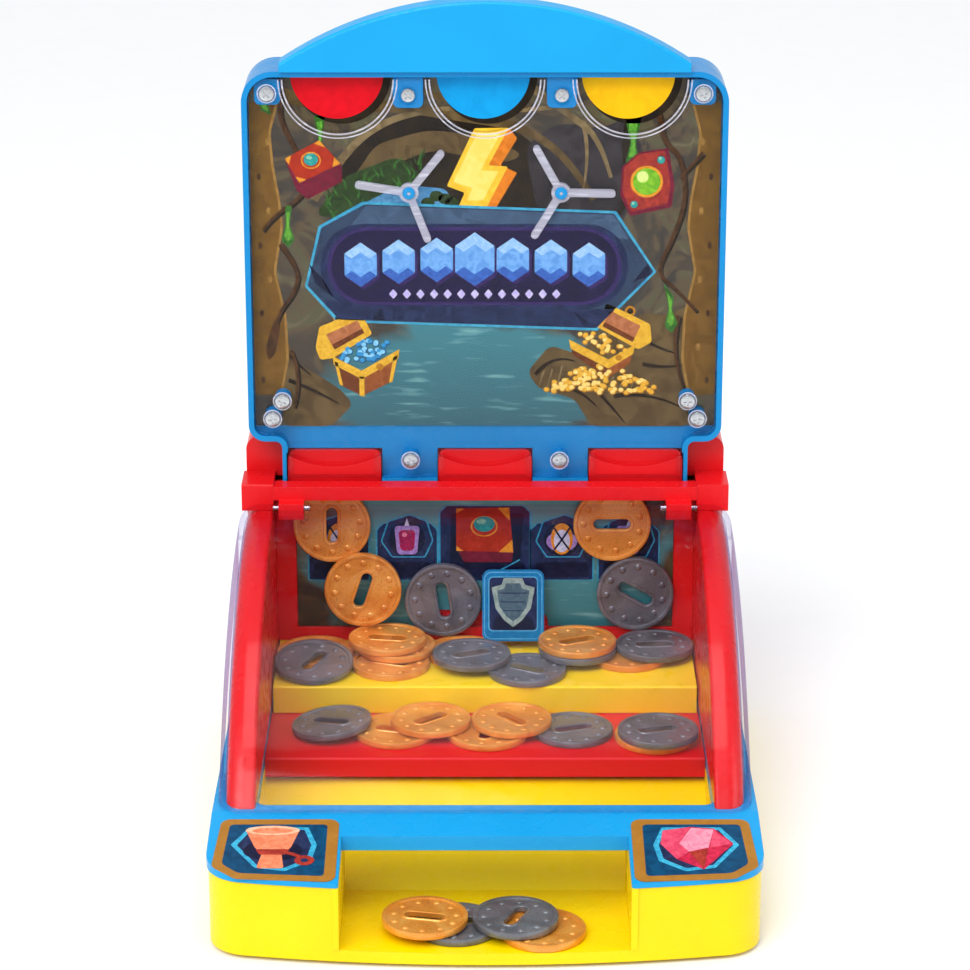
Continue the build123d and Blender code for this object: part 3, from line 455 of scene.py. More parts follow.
# ---- playfield card ----------------------------------------------------------------------------
# A printed card behind the token deck: a flooded cave, and five cut-stone tiles in a row, each
# with a cyan edge and one treasure. All of it is flat ink under varnish.
def cave_print(name, water_top, water_low, pool):
    """Painted cave: rock in olive and umber with bent strata, and teal water in a round pool."""
    finish = bpy.data.materials.new(name)
    finish.use_nodes = True
    skin = finish.node_tree.nodes["Principled BSDF"]
    skin.inputs["Roughness"].default_value = 0.33
    place = add(finish, "ShaderNodeTexCoord").outputs["Object"]
    bent = add(finish, "ShaderNodeTexNoise", {"Vector": place, "Scale": 1 / 0.042, "Detail": 3.0,
                                              "Distortion": 1.5})
    strata = add(finish, "ShaderNodeMapping", {"Vector": bent.outputs["Color"],
                                               "Scale": (5.0, 5.0, 9.0)})
    bands = add(finish, "ShaderNodeTexNoise", {"Vector": strata.outputs["Vector"], "Scale": 1.0,
                                               "Detail": 5.0})
    rock = add(finish, "ShaderNodeValToRGB", {"Fac": bands.outputs["Fac"]})
    shades = rock.color_ramp.elements
    shades[0].position, shades[0].color = 0.30, linear("#1F1810")
    shades[1].position, shades[1].color = 0.74, linear("#7C6A45")
    for position, paint in ((0.45, "#3A2F1C"), (0.55, "#554526"), (0.63, "#4A4A2A")):
        shades.new(position).color = linear(paint)
    ripple_map = add(finish, "ShaderNodeMapping", {"Vector": place, "Scale": (60.0, 1.0, 420.0)})
    ripple = add(finish, "ShaderNodeTexNoise", {"Vector": ripple_map.outputs["Vector"], "Scale": 1.0,
                                                "Detail": 4.0})
    height = add(finish, "ShaderNodeSeparateXYZ", {"Vector": place})
    depth_of_water = add(finish, "ShaderNodeMapRange", {
        "Value": height.outputs["Z"], "From Min": (pool[1] - pool[3]) * mm,
        "From Max": (pool[1] + pool[3]) * mm})
    water = add(finish, "ShaderNodeMixRGB", {"Fac": depth_of_water.outputs["Result"],
                                             "Color1": linear(water_low), "Color2": linear(water_top)})
    glint = add(finish, "ShaderNodeMapRange", {"Value": ripple.outputs["Fac"], "From Min": 0.56,
                                               "From Max": 0.74, "To Max": 0.55})
    lit = add(finish, "ShaderNodeMixRGB", {"Fac": glint.outputs["Result"],
                                           "Color1": water.outputs["Color"],
                                           "Color2": linear("#8CC9C4")})
    centred = add(finish, "ShaderNodeMapping", {
        "Vector": place, "Location": (-pool[0] / pool[2], 0, -pool[1] / pool[3]),
        "Scale": (1 / (pool[2] * mm), 0.0, 1 / (pool[3] * mm))})
    shore = add(finish, "ShaderNodeVectorMath", {0: centred.outputs["Vector"]}, operation="LENGTH")
    ragged = add(finish, "ShaderNodeMath", {0: shore.outputs["Value"], 1: bent.outputs["Fac"]},
                 operation="ADD")
    bank = add(finish, "ShaderNodeMapRange", {"Value": ragged.outputs["Value"], "From Min": 1.42,
                                              "From Max": 1.58})
    scene = add(finish, "ShaderNodeMixRGB", {"Fac": bank.outputs["Result"],
                                             "Color1": lit.outputs["Color"],
                                             "Color2": rock.outputs["Color"]})
    finish.node_tree.links.new(scene.outputs["Color"], skin.inputs["Base Color"])
    return finish


dress(cave_print("playfield_card_print", "#57A7A6", "#1B6E78", (0, 72, 62, 34)), "playfield_card")
ruby_ink = ink("ruby_ink", "#B8205A", "#8E1A4E", 1.6)
violet_ink = ink("violet_ink", "#B79BD8", "#8F77BC", 1.6)
white_ink = ink("pearl_ink", "#DCE4F2", "#B9C6E2", 1.6)
cover_ink = ink("book_red_ink", "#BE3416", "#A5290F", 3.0)
cover_deep_ink = ink("book_wine_ink", "#7E1B33", "#651428", 3.0)
gold_ink = ink("gold_ink", "#F0A52C", "#D9861C", 1.8)
jade_ink = ink("jade_ink", "#35A89C", "#1F8A86", 1.8)
mint_ink = ink("mint_ink", "#9ED8B4", "#6FBF9E", 1.2)
sheet = {"print": bmesh.new(), "inks": []}
for x, half, top, low in ((-53.0, 11.2, 86.0, 64.6), (-28.2, 11.2, 86.6, 64.6), (27.8, 11.6, 86.6, 64.6),
                          (52.0, 11.2, 86.0, 64.6), (0.0, 16.8, 93.4, 64.2)):
    block_edge = [(x - half, low), (x + half, low), (x + half, top - 2.5), (x + half - 2.5, top),
                  (x - half + 2.5, top), (x - half, top - 2.5)]
    lay_outline(sheet, cyan_ink, block_edge, 1, 0.6)
    lay_outline(sheet, plate_ink, [(u * 0.96 + x * 0.04, v * 0.985 + 1.15) for u, v in block_edge], 2,
                0.6)
    lay_outline(sheet, plate_deep_ink, [(x - half + 1.5, low + 1.2), (x + half - 1.5, low + 1.2),
                                        (x + half - 2.5, low + 7.0), (x - half + 2.5, low + 7.0)], 3, 1.2)
for x in (-53.0, -28.2, 27.8, 52.0):
    stone = [(x - 9.6, 79.6), (x - 7.0, 87.4), (x + 1.0, 90.2), (x + 7.4, 87.6), (x + 9.6, 80.0),
             (x + 6.6, 73.4), (x - 5.6, 73.4)]
    lay_outline(sheet, cyan_ink, stone, 4, 0.5)
    lay_outline(sheet, plate_ink, [(x + (u - x) * 0.94, 80.6 + (v - 80.6) * 0.94) for u, v in stone], 5,
                0.5)
    lay_disc(sheet, plate_deep_ink, (x, 80.4), 6.6, 6)
for x in (-28.2, 52.0):
    lay_outline(sheet, violet_ink, [(x - 4.6, 85.6), (x + 4.6, 85.6), (x + 3.6, 74.6), (x - 3.6, 74.6)],
                7, 1.4)
    lay_outline(sheet, ruby_ink, [(x - 3.1, 84.0), (x + 3.1, 84.0), (x + 2.5, 76.0), (x - 2.5, 76.0)], 8,
                1.6)
    lay_disc(sheet, rose_light_ink, (x - 0.9, 82.2), 0.9, 9)
    lay_outline(sheet, white_ink, [(x - 0.9, 85.6), (x, 88.6), (x + 0.9, 85.6)], 8, 0.2)
for x in (27.8, -53.0):
    lay_disc(sheet, violet_ink, (x, 79.6), 5.6, 7, 0.7)
    lay_disc(sheet, gold_ink, (x, 80.6), 4.0, 8, 1.5)
    lay_disc(sheet, white_ink, (x, 79.8), 2.9, 9, 1.5)
    lay_stroke(sheet, plate_deep_ink, [(x - 2.8, 76.4), (x + 0.4, 80.6), (x + 2.8, 84.8)], 0.7, 10)
    lay_stroke(sheet, plate_deep_ink, [(x + 2.8, 76.4), (x - 0.4, 80.6), (x - 2.8, 84.8)], 0.7, 10)
lay_outline(sheet, plate_deep_ink, [(-12.6, 66.4), (12.4, 66.4), (14.0, 90.4), (-12.4, 90.4)], 4, 1.4)
lay_outline(sheet, cover_deep_ink, [(-9.8, 76.0), (-7.6, 71.6), (9.6, 71.6), (10.4, 76.0)], 5, 0.4)
lay_outline(sheet, cover_ink, [(-10.4, 92.2), (8.8, 92.6), (10.2, 75.4), (-10.4, 76.0)], 6, 0.8)
for corner in ([(8.8, 92.6), (4.6, 92.5), (8.9, 87.6)], [(10.2, 75.4), (5.0, 75.5), (9.9, 80.4)],
               [(-10.4, 92.2), (-7.4, 92.2), (-10.4, 90.4)],
               [(-10.4, 76.0), (-7.8, 75.9), (-10.4, 78.0)]):
    lay_outline(sheet, gold_ink, corner, 7, 0.3)
lay_disc(sheet, gold_ink, (-0.3, 85.4), 4.9, 7, 0.8)
lay_disc(sheet, cover_ink, (-0.3, 85.4), 4.3, 8, 0.8)
lay_disc(sheet, jade_ink, (-0.3, 86.3), 3.8, 9, 0.78)
lay_disc(sheet, mint_ink, (-1.3, 87.3), 1.7, 10, 0.6)
lay_stroke(sheet, cyan_ink, [(2.0, 66.8), (6.0, 68.6), (12.6, 72.6)], 0.5, 6)


def upright_at(setback, x=0.0, z=0.0):
    """Turns what is drawn flat on XY to stand facing the player at a setback."""
    return Matrix.Translation((x, back(setback), z)) @ Matrix.Rotation(pi / 2, 4, "X")


playfield_face = 178.8
place_print("playfield_print", sheet, upright_at(playfield_face), "root", "printed_card")

# ---- window cover, header panel and spinners: clear polystyrene ---------------------------------
# Clear GPPS: almost nothing is seen face on, while slanting walls and cut edges gather a violet
# tint and a bright reflection. A white diffuse veil, strongest along faint flow and scuff streaks,
# is painted highlight: it makes the spinners and the panel rims look lit; on the cover and panel it is
# off.
def clear_polystyrene(name, face_tint, edge_tint, haze_and_painted_highlight, gather):
    finish = bpy.data.materials.new(name)
    finish.use_nodes = True
    tree = finish.node_tree
    tree.nodes.remove(tree.nodes["Principled BSDF"])
    place = add(finish, "ShaderNodeTexCoord").outputs["Object"]
    slant = add(finish, "ShaderNodeLayerWeight", {"Blend": 0.5})
    thick = add(finish, "ShaderNodeMath", {0: slant.outputs["Facing"], 1: gather}, operation="POWER")
    tint = add(finish, "ShaderNodeMixRGB", {"Fac": thick.outputs["Value"], "Color1": linear(face_tint),
                                            "Color2": linear(edge_tint)})
    clear = add(finish, "ShaderNodeBsdfTransparent", {"Color": tint.outputs["Color"]})
    scuff_map = add(finish, "ShaderNodeMapping", {"Vector": place, "Scale": (90.0, 900.0, 900.0)})
    scuff = add(finish, "ShaderNodeTexNoise", {"Vector": scuff_map.outputs["Vector"], "Scale": 1.0,
                                               "Detail": 5.0})
    # painted highlight: a white diffuse veil, strongest along the scuff streaks, makes clear parts look
    # lit
    painted_highlight_veil = add(finish, "ShaderNodeMapRange", {"Value": scuff.outputs["Fac"], "From Min": 0.5,
                                              "From Max": 0.8, "To Min": haze_and_painted_highlight * 0.45, "To Max": haze_and_painted_highlight})
    painted_highlight_white = add(finish, "ShaderNodeBsdfDiffuse", {"Color": linear("#F2F1FA")})
    body = add(finish, "ShaderNodeMixShader", {0: painted_highlight_veil.outputs["Result"], 1: clear.outputs["BSDF"],
                                               2: painted_highlight_white.outputs["BSDF"]})
    grazing = add(finish, "ShaderNodeMath", {0: slant.outputs["Facing"], 1: 5.0}, operation="POWER")
    mirror = add(finish, "ShaderNodeMapRange", {"Value": grazing.outputs["Value"], "To Min": 0.006,
                                                "To Max": 0.35})
    shine = add(finish, "ShaderNodeBsdfGlossy", {"Color": linear("#FFFFFF"), "Roughness": 0.06})
    surface = add(finish, "ShaderNodeMixShader", {0: mirror.outputs["Result"], 1: body.outputs["Shader"],
                                                  2: shine.outputs["BSDF"]})
    tree.links.new(surface.outputs["Shader"], tree.nodes["Material Output"].inputs["Surface"])
    return finish


dress(clear_polystyrene("clear_polystyrene_cover", "#FDFCFE", "#A79BC8", 0.0, 3.0), "window_cover")
dress(clear_polystyrene("clear_polystyrene_panel", "#FDFDFE", "#B6B0CE", 0.0, 3.0), "header_window")
# painted highlight: the spinners are veiled white so that they look lit
dress(clear_polystyrene("clear_polystyrene_spinner_painted_highlight", "#F3F5F9", "#D5D9E6", 0.8, 1.5),
      "spinner_left", "spinner_right")

# ---- moulded rims of the panel -------------------------------------------------------------------
# The thick edges of the clear panel catch the light: two half rings round each inlet, and a ring
# round every screw boss, veiled white as painted highlight. They are part of the same polystyrene
# moulding, in front of its face.
def bead(radius, thick, sweep, steps):
    """A round bead bent about Z; a half ring gets flat ends, a whole one closes on itself."""
    shape = bmesh.new()
    bmesh.ops.create_circle(shape, segments=8, radius=thick, matrix=Matrix.Translation((radius, 0, 0))
                            @ Matrix.Rotation(pi / 2, 4, "X"))
    whole = abs(sweep) > pi + 0.1
    bmesh.ops.spin(shape, geom=shape.verts[:] + shape.edges[:], cent=(0, 0, 0), axis=(0, 0, 1),
                   angle=sweep, steps=steps, use_merge=whole)
    if not whole:
        bmesh.ops.holes_fill(shape, edges=[e for e in shape.edges if e.is_boundary])
    bmesh.ops.recalc_face_normals(shape, faces=shape.faces[:])
    return shape


# painted highlight: the rims are veiled white so that they look lit
rim_painted_highlight = clear_polystyrene("clear_polystyrene_rim_painted_highlight", "#F6F7FB", "#D9DCE8", 0.7, 1.5)
inlet_pitch, inlet_z, panel_face = 50.8, 250.0, 174.5
rims = bmesh.new()
for radius, thick in ((19.2, 0.3), (20.5, 0.25)):
    hoop = bead(radius, thick, -pi, 48)
    for k in (-1, 0, 1):
        copied_into(rims, hoop, upright_at(panel_face, k * inlet_pitch, inlet_z))
    hoop.free()
boss_loop = bead(3.15, 0.25, 2 * pi, 32)
clear_bosses = ((75.3, 245.1), (75.6, 127.5), (72.0, 134.1), (26.6, 111.9))
for x, z in clear_bosses:
    for s in (-1, 1):
        copied_into(rims, boss_loop, upright_at(panel_face, s * x, z))
boss_loop.free()
place_piece("panel_rims", rims, [rim_painted_highlight], "root", "clear_plastic")

# ---- header card ---------------------------------------------------------------------------------
# The printed card behind the token channel: cave, pool, hanging creepers, a blank cut-stone
# banner with a row of gems where a title would stand, a bolt, two amulets and two chests.
dress(cave_print("header_card_print", "#2F7F88", "#1A5560", (-4, 138, 56, 24)), "header_card")
umber_ink = ink("dark_umber_ink", "#2B2114", "#1D160D", 9.0)
ochre_rock_ink = ink("ochre_rock_ink", "#6E5A36", "#554326", 7.0)
pale_rock_ink = ink("pale_rock_ink", "#8B7750", "#6C5A3A", 5.0)
grey_rock_ink = ink("grey_rock_ink", "#3F3A3C", "#2B2728", 8.0)
earth_ink = ink("earth_wall_ink", "#7D5A20", "#6B4B18", 5.0)
earth_edge_ink = ink("earth_edge_ink", "#A87F3C", "#8E6A2E", 3.0)
bark_ink = ink("bark_ink", "#5A3A1E", "#3C2612", 2.0)
leaf_ink = ink("leaf_ink", "#3F7A2A", "#2A5A1E", 2.0)
sap_ink = ink("bright_leaf_ink", "#6FB53C", "#4C8F2A", 1.5)
fern_ink = ink("fern_ink", "#33491F", "#1F3315", 1.4)
sky_ink = ink("pool_light_ink", "#5F9CC4", "#4483AE", 3.0)
banner_ink = ink("banner_slate_ink", "#33465F", "#28384F", 6.0)
banner_light_ink = ink("banner_pale_slate_ink", "#47607B", "#3B5169", 5.0)
banner_edge_ink = ink("banner_cyan_ink", "#4AB3CE", "#3595B8", 3.0)
pill_ink = ink("midnight_ink", "#211A42", "#1A1536", 7.0)
pill_edge_ink = ink("plum_ink", "#3B2A66", "#2F2156", 3.0)
bolt_ink = ink("bolt_yellow_ink", "#FFD23C", "#F8C02C", 4.0)
bolt_light_ink = ink("bolt_pale_ink", "#FFE978", "#FFDF5E", 4.0)
bolt_side_ink = ink("bolt_orange_ink", "#F08A1E", "#D97414", 3.0)
gem_ink = ink("sky_gem_ink", "#79B4EC", "#5E9BDE", 3.0)
gem_light_ink = ink("pale_gem_ink", "#A9D2F7", "#8FC2F0", 2.0)
gem_deep_ink = ink("deep_gem_ink", "#3F6FC4", "#345DAE", 2.0)
lilac_ink = ink("lilac_ink", "#D9D2F4", "#BEB2E6", 1.5)
wood_ink = ink("chest_wood_ink", "#A35A2A", "#87471E", 2.0)
wood_deep_ink = ink("chest_dark_wood_ink", "#7A3F1C", "#653316", 2.0)
lining_ink = ink("chest_lining_ink", "#C27A4E", "#A9643A", 2.5)
brass_ink = ink("chest_brass_ink", "#F2C23A", "#DDA526", 1.8)
coin_ink = ink("coin_ink", "#F6C445", "#E3A52A", 0.9)
coin_light_ink = ink("coin_light_ink", "#FFE48A", "#FBD668", 0.9)
coin_deep_ink = ink("coin_deep_ink", "#C98A1E", "#B07314", 0.9)
jewel_ink = ink("jewel_ink", "#3FA3D6", "#2C86BE", 0.9)
jewel_light_ink = ink("jewel_light_ink", "#9ADAF4", "#74C4E8", 0.9)
jewel_deep_ink = ink("jewel_deep_ink", "#1F6A9E", "#185684", 0.9)
lime_ink = ink("lime_gem_ink", "#8CCB2E", "#5FA71E", 3.0)
lime_light_ink = ink("lime_light_ink", "#E9F59A", "#CFE96A", 2.0)
sheet = {"print": bmesh.new(), "inks": []}

# the cave: dark mouth, bent roof strands, grey pillars, ferns and a far pool
lay_outline(sheet, umber_ink, [(-56, 186), (-52, 218), (-42, 231), (-22, 237), (4, 234), (16, 228),
                               (26, 212),
                               (34, 190)], 1, 9.0)
lay_outline(sheet, ochre_rock_ink, [(-46, 214), (-38, 226), (-20, 231), (0, 229), (14, 222), (6, 219),
                                    (-18, 224), (-34, 218)], 2, 4.0)
lay_outline(sheet, grey_rock_ink, [(18, 202), (14, 226), (26, 234), (40, 231), (50, 236), (56, 222),
                                   (48, 196)],
            2, 5.0)
for route, width, colour in (
        ([(-72, 244), (-52, 238), (-34, 240), (-10, 236), (14, 232), (30, 220), (38, 206)], 5.0,
         ochre_rock_ink),
        ([(-60, 206), (-50, 222), (-36, 234), (-16, 239), (8, 237), (34, 240)], 3.2, pale_rock_ink),
        ([(16, 246), (30, 236), (40, 228), (44, 214)], 3.0, pale_rock_ink),
        ([(-24, 246), (-12, 240), (0, 244), (16, 238)], 2.6, ochre_rock_ink),
        ([(34, 234), (37, 222), (34, 208)], 1.6, pale_rock_ink),
        ([(52, 240), (48, 226), (52, 208), (44, 196)], 4.0, umber_ink)):
    lay_stroke(sheet, colour, route, width, 3, 0.4)
lay_outline(sheet, fern_ink, [(-60, 200), (-50, 214), (-30, 222), (-20, 213), (-30, 205), (-46, 200)], 4,
            4.0)
frond = random.Random(11)
for k in range(46):
    u = frond.uniform(-58, -22)
    v = 204 + (u + 58) * 0.34 + frond.uniform(-7, 5)
    lay_stroke(sheet, leaf_ink if k % 3 else fern_ink,
               [(u, v), (u + frond.uniform(-1.5, 1.5), v + 2), (u + frond.uniform(-3, 3), v + 3.6)], 0.9,
               5, 0.2)
lay_outline(sheet, sky_ink, [(-44, 204), (-33, 209.6), (-24, 211), (-14, 210), (-10, 204)], 6, 1.5)
for u, v in ((-20, 205), (-17, 207.4), (-14, 206.4), (-11.6, 205)):
    lay_disc(sheet, fern_ink, (u, v), 2.4, 7, 0.8)

# rocks beside the water
lay_outline(sheet, ochre_rock_ink, [(15, 143), (23, 153), (32, 150), (56, 165), (64, 164), (73, 168),
                                    (73, 122.8),
                                    (38, 122.8), (32, 133), (19, 137)], 3, 2.5)
lay_outline(sheet, ochre_rock_ink, [(-72, 158), (-66, 146), (-52, 137), (-47, 131), (-55, 122.8),
                                    (-72, 122.8)], 3, 2.5)
for route in ([(18, 142), (24, 150), (32, 147)], [(36, 140), (44, 132), (50, 124)],
              [(24, 139), (34, 137), (40, 130)],
              [(52, 158), (60, 152), (68, 150)], [(56, 146), (64, 144), (72, 146)],
              [(46, 134), (58, 136), (70, 130)],
              [(-70, 140), (-60, 136), (-52, 131)], [(-70, 150), (-66, 145), (-62, 142)]):
    lay_stroke(sheet, umber_ink, route, 1.7, 4, 0.3)
for u in (21, 24, 27.4, 42, 46, 50, 54):
    lay_stroke(sheet, pale_rock_ink, [(u, 146 - abs(u - 30) * 0.3), (u - 0.8, 141), (u - 2, 137)], 0.8, 5,
               0.3)

# earth walls down both sides, with a ragged inner edge
for side in (-1, 1):
    edge = [(72.5, 241), (75.5, 230), (74.6, 218), (72.6, 206), (71.8, 196), (74.6, 180), (71.2, 164),
            (70.6, 148), (73.2, 134.6)]
    wall_patch = [(side * u, v) for u, v in edge] + [(side * 82.0, 134.6), (side * 82.0, 241)]
    lay_outline(sheet, earth_edge_ink, [(u - side * 0.9, v) for u, v in wall_patch[:9]] + wall_patch[9:],
                5, 1.6)
    lay_outline(sheet, earth_ink, wall_patch, 6, 1.6)
    for k in range(8):
        lay_disc(sheet, earth_edge_ink if k % 2 else bark_ink,
                 (side * (77.4 + 1.6 * (-1) ** k), 140 + 12.4 * k),
                 0.8, 7, 1.7, 9)

# creepers and hanging leaves
for route, width in (
        ([(-72, 249), (-70.5, 245), (-71.7, 235), (-66, 224), (-62, 214), (-64, 207), (-74, 200.5),
          (-78, 195)], 2.0),
        ([(-72, 190), (-65.4, 181), (-67, 172.8), (-73.5, 164.5), (-76, 154)], 1.7),
        ([(-69.2, 151), (-64.9, 142), (-68.1, 130)], 1.6),
        ([(58, 244), (61, 235), (62, 227), (68.3, 221.7), (70.6, 206.3), (66, 192), (60, 179.5),
          (67.6, 174),
          (75, 165.6)], 2.0),
        ([(76, 223), (72, 218), (68, 214)], 1.3),
        ([(68.6, 164), (65.4, 150.5), (71.3, 136)], 1.6)):
    lay_stroke(sheet, umber_ink, [(u + 0.5, v - 0.7) for u, v in route], width + 0.5, 7, 0.5)
    lay_stroke(sheet, bark_ink, route, width, 8, 0.5)
lay_outline(sheet, bark_ink, [(-78, 152), (-74.5, 163), (-72.4, 160), (-74.4, 150), (-77, 147)], 8, 1.4)
for leaf in ([(-70, 204), (-67.6, 204), (-68.6, 197), (-66.8, 191.6), (-69.2, 188.6), (-71.6, 191.6),
              (-70, 197)],
             [(-59.4, 236), (-55.6, 236), (-56.6, 228), (-56.9, 224), (-58.2, 224), (-58, 228)],
             [(48.6, 236), (54.4, 236), (52.6, 226), (54.0, 219), (48.8, 219), (50.6, 226)],
             [(63.0, 176), (66.8, 171), (66.2, 166), (68.4, 161), (66.2, 157.4), (63.6, 160),
              (65.0, 167)],
             [(-79, 246), (-76, 243), (-74, 236), (-78, 238)]):
    lay_outline(sheet, leaf_ink, leaf, 9, 0.9)
    middle = Vector((sum(u for u, v in leaf), sum(v for u, v in leaf))) / len(leaf)
    lay_outline(sheet, sap_ink, [(middle.x + 0.55 * (u - middle.x), middle.y + 0.7 * (v - middle.y))
                                 for u, v in leaf], 10, 0.5)

# the blank banner and its row of gems
banner = [(-42.8, 205.4), (46.0, 202.0), (60.4, 180.0), (39.8, 158.4), (-52.4, 161.6), (-63.6, 174.6),
          (-58.4, 196.6)]
middle = (-2.0, 181.6)
half_wide, half_high = 58, 22


def inset(outline, by):
    """The outline drawn in towards the banner's middle by about the same width all round."""
    return [(middle[0] + (u - middle[0]) * (1 - by / half_wide),
             middle[1] + (v - middle[1]) * (1 - by / half_high)) for u, v in outline]


lay_outline(sheet, banner_edge_ink, banner, 10, 0.5)
lay_outline(sheet, banner_ink, inset(banner, 0.9), 11, 0.5)
lay_outline(sheet, banner_light_ink, [(-41.6, 204.0), (45.0, 200.6), (50.6, 192.0), (-47.4, 196.4)], 12,
            0.6)
lay_outline(sheet, plate_ink, [(-52.0, 162.8), (-57.6, 169.6), (46.0, 166.2), (39.6, 159.4)], 12, 0.6)
for facet in ([(-62, 183), (-57, 177), (-53, 170), (-60, 176)],
              [(-40, 162.4), (-36.6, 167.4), (-35.4, 162.2)],
              [(30.6, 166), (36.4, 162), (35.4, 159.6)], [(57.4, 183), (52, 176), (58.6, 179)]):
    lay_outline(sheet, plate_deep_ink, facet, 13, 0.2)
lay_outline(sheet, plate_ink, [(-58.0, 197.4), (50.4, 197.4), (50.4, 166.6), (-58.0, 166.6)], 13, 14.6)
lay_outline(sheet, pill_edge_ink, [(-55.6, 196.2), (48.2, 196.2), (48.2, 167.8), (-55.6, 167.8)], 14,
            14.0)
lay_outline(sheet, pill_ink, [(-54.2, 195.0), (46.8, 195.0), (46.8, 169.0), (-54.2, 169.0)], 15, 12.8)
for k in range(-3, 4):
    u, v, r = -3.6 + 13.4 * k, 184.6 - 0.22 * k * k, 6.6 if k else 8.0
    ring = [(u + r * cos(radians(a)), v + 1.22 * r * sin(radians(a))) for a in range(30, 390, 60)]
    lay_outline(sheet, pill_edge_ink, [(a + 0.9, b - 1.1) for a, b in ring], 16, 0.8)
    lay_outline(sheet, gem_ink, ring, 17, 0.8)
    table_cut = [(u + (a - u) * 0.56, v + (b - v) * 0.56) for a, b in ring]
    lay_outline(sheet, gem_deep_ink, [ring[3], ring[4], table_cut[4], table_cut[3]], 18, 0.0)
    lay_outline(sheet, gem_deep_ink, [ring[4], ring[5], table_cut[5], table_cut[4]], 18, 0.0)
    lay_outline(sheet, gem_light_ink, [ring[0], ring[1], table_cut[1], table_cut[0]], 18, 0.0)
    lay_outline(sheet, gem_light_ink, [ring[1], ring[2], table_cut[2], table_cut[1]], 18, 0.0)
for k in range(-6, 7):
    u = -3.6 + 4.8 * k
    lay_outline(sheet, lilac_ink, [(u - 1.5, 171.9), (u, 173.7), (u + 1.5, 171.9), (u, 170.1)], 16, 0.3)

# the bolt, its orange side first
bolt = [(-3.7, 231.6), (8.3, 231.8), (1.2, 218.4), (8.0, 218.0), (0.6, 203.4), (-9.4, 203.4),
        (-7.1, 208.6),
        (-13.4, 211.0)]
lay_outline(sheet, bolt_side_ink, [(8.3, 231.8), (11.2, 228.0), (5.4, 218.4), (11.2, 215.8), (4.0, 203.4),
                                   (-6.0, 203.4), (-1.0, 216.0)], 8, 0.5)
lay_outline(sheet, bolt_ink, bolt, 9, 0.7)
lay_outline(sheet, bolt_light_ink, [(-2.6, 230.0), (5.6, 230.2), (-1.6, 216.6), (4.8, 216.4),
                                    (-0.8, 205.8),
                                    (-6.4, 205.8), (-4.4, 210.4), (-11.2, 212.4)], 9.5, 0.7)

# the amulets: a red box with a jade stone, and a rust plate with a lime stone
lay_outline(sheet, cover_deep_ink, [(-69.8, 220.6), (-50.2, 219.4), (-49.8, 212.6), (-62.0, 206.2),
                                    (-66.0, 209.6)],
            11, 0.5)
lay_outline(sheet, cover_ink, [(-69.8, 220.8), (-57.7, 227.4), (-50.4, 219.0), (-64.8, 212.2)], 12, 0.7)
for corner in ([(-69.8, 220.8), (-67.6, 222.0), (-68.4, 218.6)],
               [(-57.7, 227.4), (-55.6, 224.8), (-59.6, 226.2)],
               [(-50.4, 219.0), (-52.6, 221.4), (-53.2, 217.8)],
               [(-64.8, 212.2), (-62.4, 213.4), (-66.2, 214.4)]):
    lay_outline(sheet, gold_ink, corner, 13, 0.2)
lay_disc(sheet, gold_ink, (-60.7, 220.2), 3.5, 13, 0.86)
lay_disc(sheet, cover_ink, (-60.7, 220.2), 3.0, 14, 0.86)
lay_disc(sheet, jade_ink, (-60.7, 220.5), 2.5, 15, 0.9)
lay_disc(sheet, mint_ink, (-61.3, 221.2), 1.0, 16, 0.7)
plate = [(53.4, 223.0), (63.9, 224.6), (66.2, 211.4), (65.4, 203.4), (50.8, 200.2), (47.3, 207.6),
         (47.7, 217.8)]
lay_outline(sheet, cover_deep_ink, plate, 11, 0.9)
lay_outline(sheet, brick_ink, [(56.8 + (u - 56.8) * 0.88 - 0.3, 212.4 + (v - 212.4) * 0.9 + 0.4) for u,
                               v in plate],
            12, 0.9)
for centre, radius, colours in (((56.5, 212.6), 5.7, (gold_ink, lime_ink, lime_light_ink)),
                                ((61.4, 220.4), 1.6, (cover_deep_ink, jade_ink, mint_ink)),
                                ((52.2, 204.4), 1.5, (cover_deep_ink, jade_ink, mint_ink))):
    lay_disc(sheet, colours[0], centre, radius, 13)
    lay_disc(sheet, colours[1], centre, radius * 0.84, 14)
    lay_disc(sheet, colours[2], (centre[0] - radius * 0.25, centre[1] + radius * 0.3), radius * 0.36, 15)

# the chests, with a heap of stones in one and of coins in and around the other
heap = random.Random(5)


def lay_heap(colours, count, inside, radius, level):
    """Overlapping rounds thrown where inside(u, v) allows, the far ones first."""
    spots = []
    while len(spots) < count:
        u, v = heap.uniform(-62, 62), heap.uniform(132, 168)
        if inside(u, v):
            spots.append((u, v))
    for k, (u, v) in enumerate(sorted(spots, key=lambda spot: -spot[1])):
        step = level + 0.012 * k
        lay_disc(sheet, colours[2], (u, v), radius, step, 0.86, 9)
        lay_disc(sheet, colours[k % 2], (u - 0.12, v + 0.2), radius * 0.78, step + 0.3, 0.86, 9)


for closed in ([(-60.2, 152.0), (-58.8, 159.8), (-44.2, 165.8), (-40.0, 157.2), (-54.1, 148.2),
                (-58.6, 147.6)],
               [(43.0, 168.6), (58.6, 160.8), (59.2, 154.2), (54.4, 151.4), (39.4, 160.0)]):
    lay_outline(sheet, brass_ink, closed, 11, 0.9)
lay_outline(sheet, lining_ink, [(-56.4, 157.0), (-45.2, 162.2), (-42.8, 157.6), (-53.4, 151.4)], 12, 0.3)
lay_outline(sheet, wood_deep_ink, [(-53.4, 151.4), (-42.8, 157.6), (-43.6, 159.2), (-54.4, 153.2)], 13,
            0.2)
lay_outline(sheet, lining_ink, [(44.4, 165.8), (55.2, 160.2), (52.4, 154.2), (41.6, 160.0)], 12, 0.3)
lay_outline(sheet, wood_deep_ink, [(41.6, 160.0), (52.4, 154.2), (53.2, 155.8), (42.4, 161.6)], 13, 0.2)
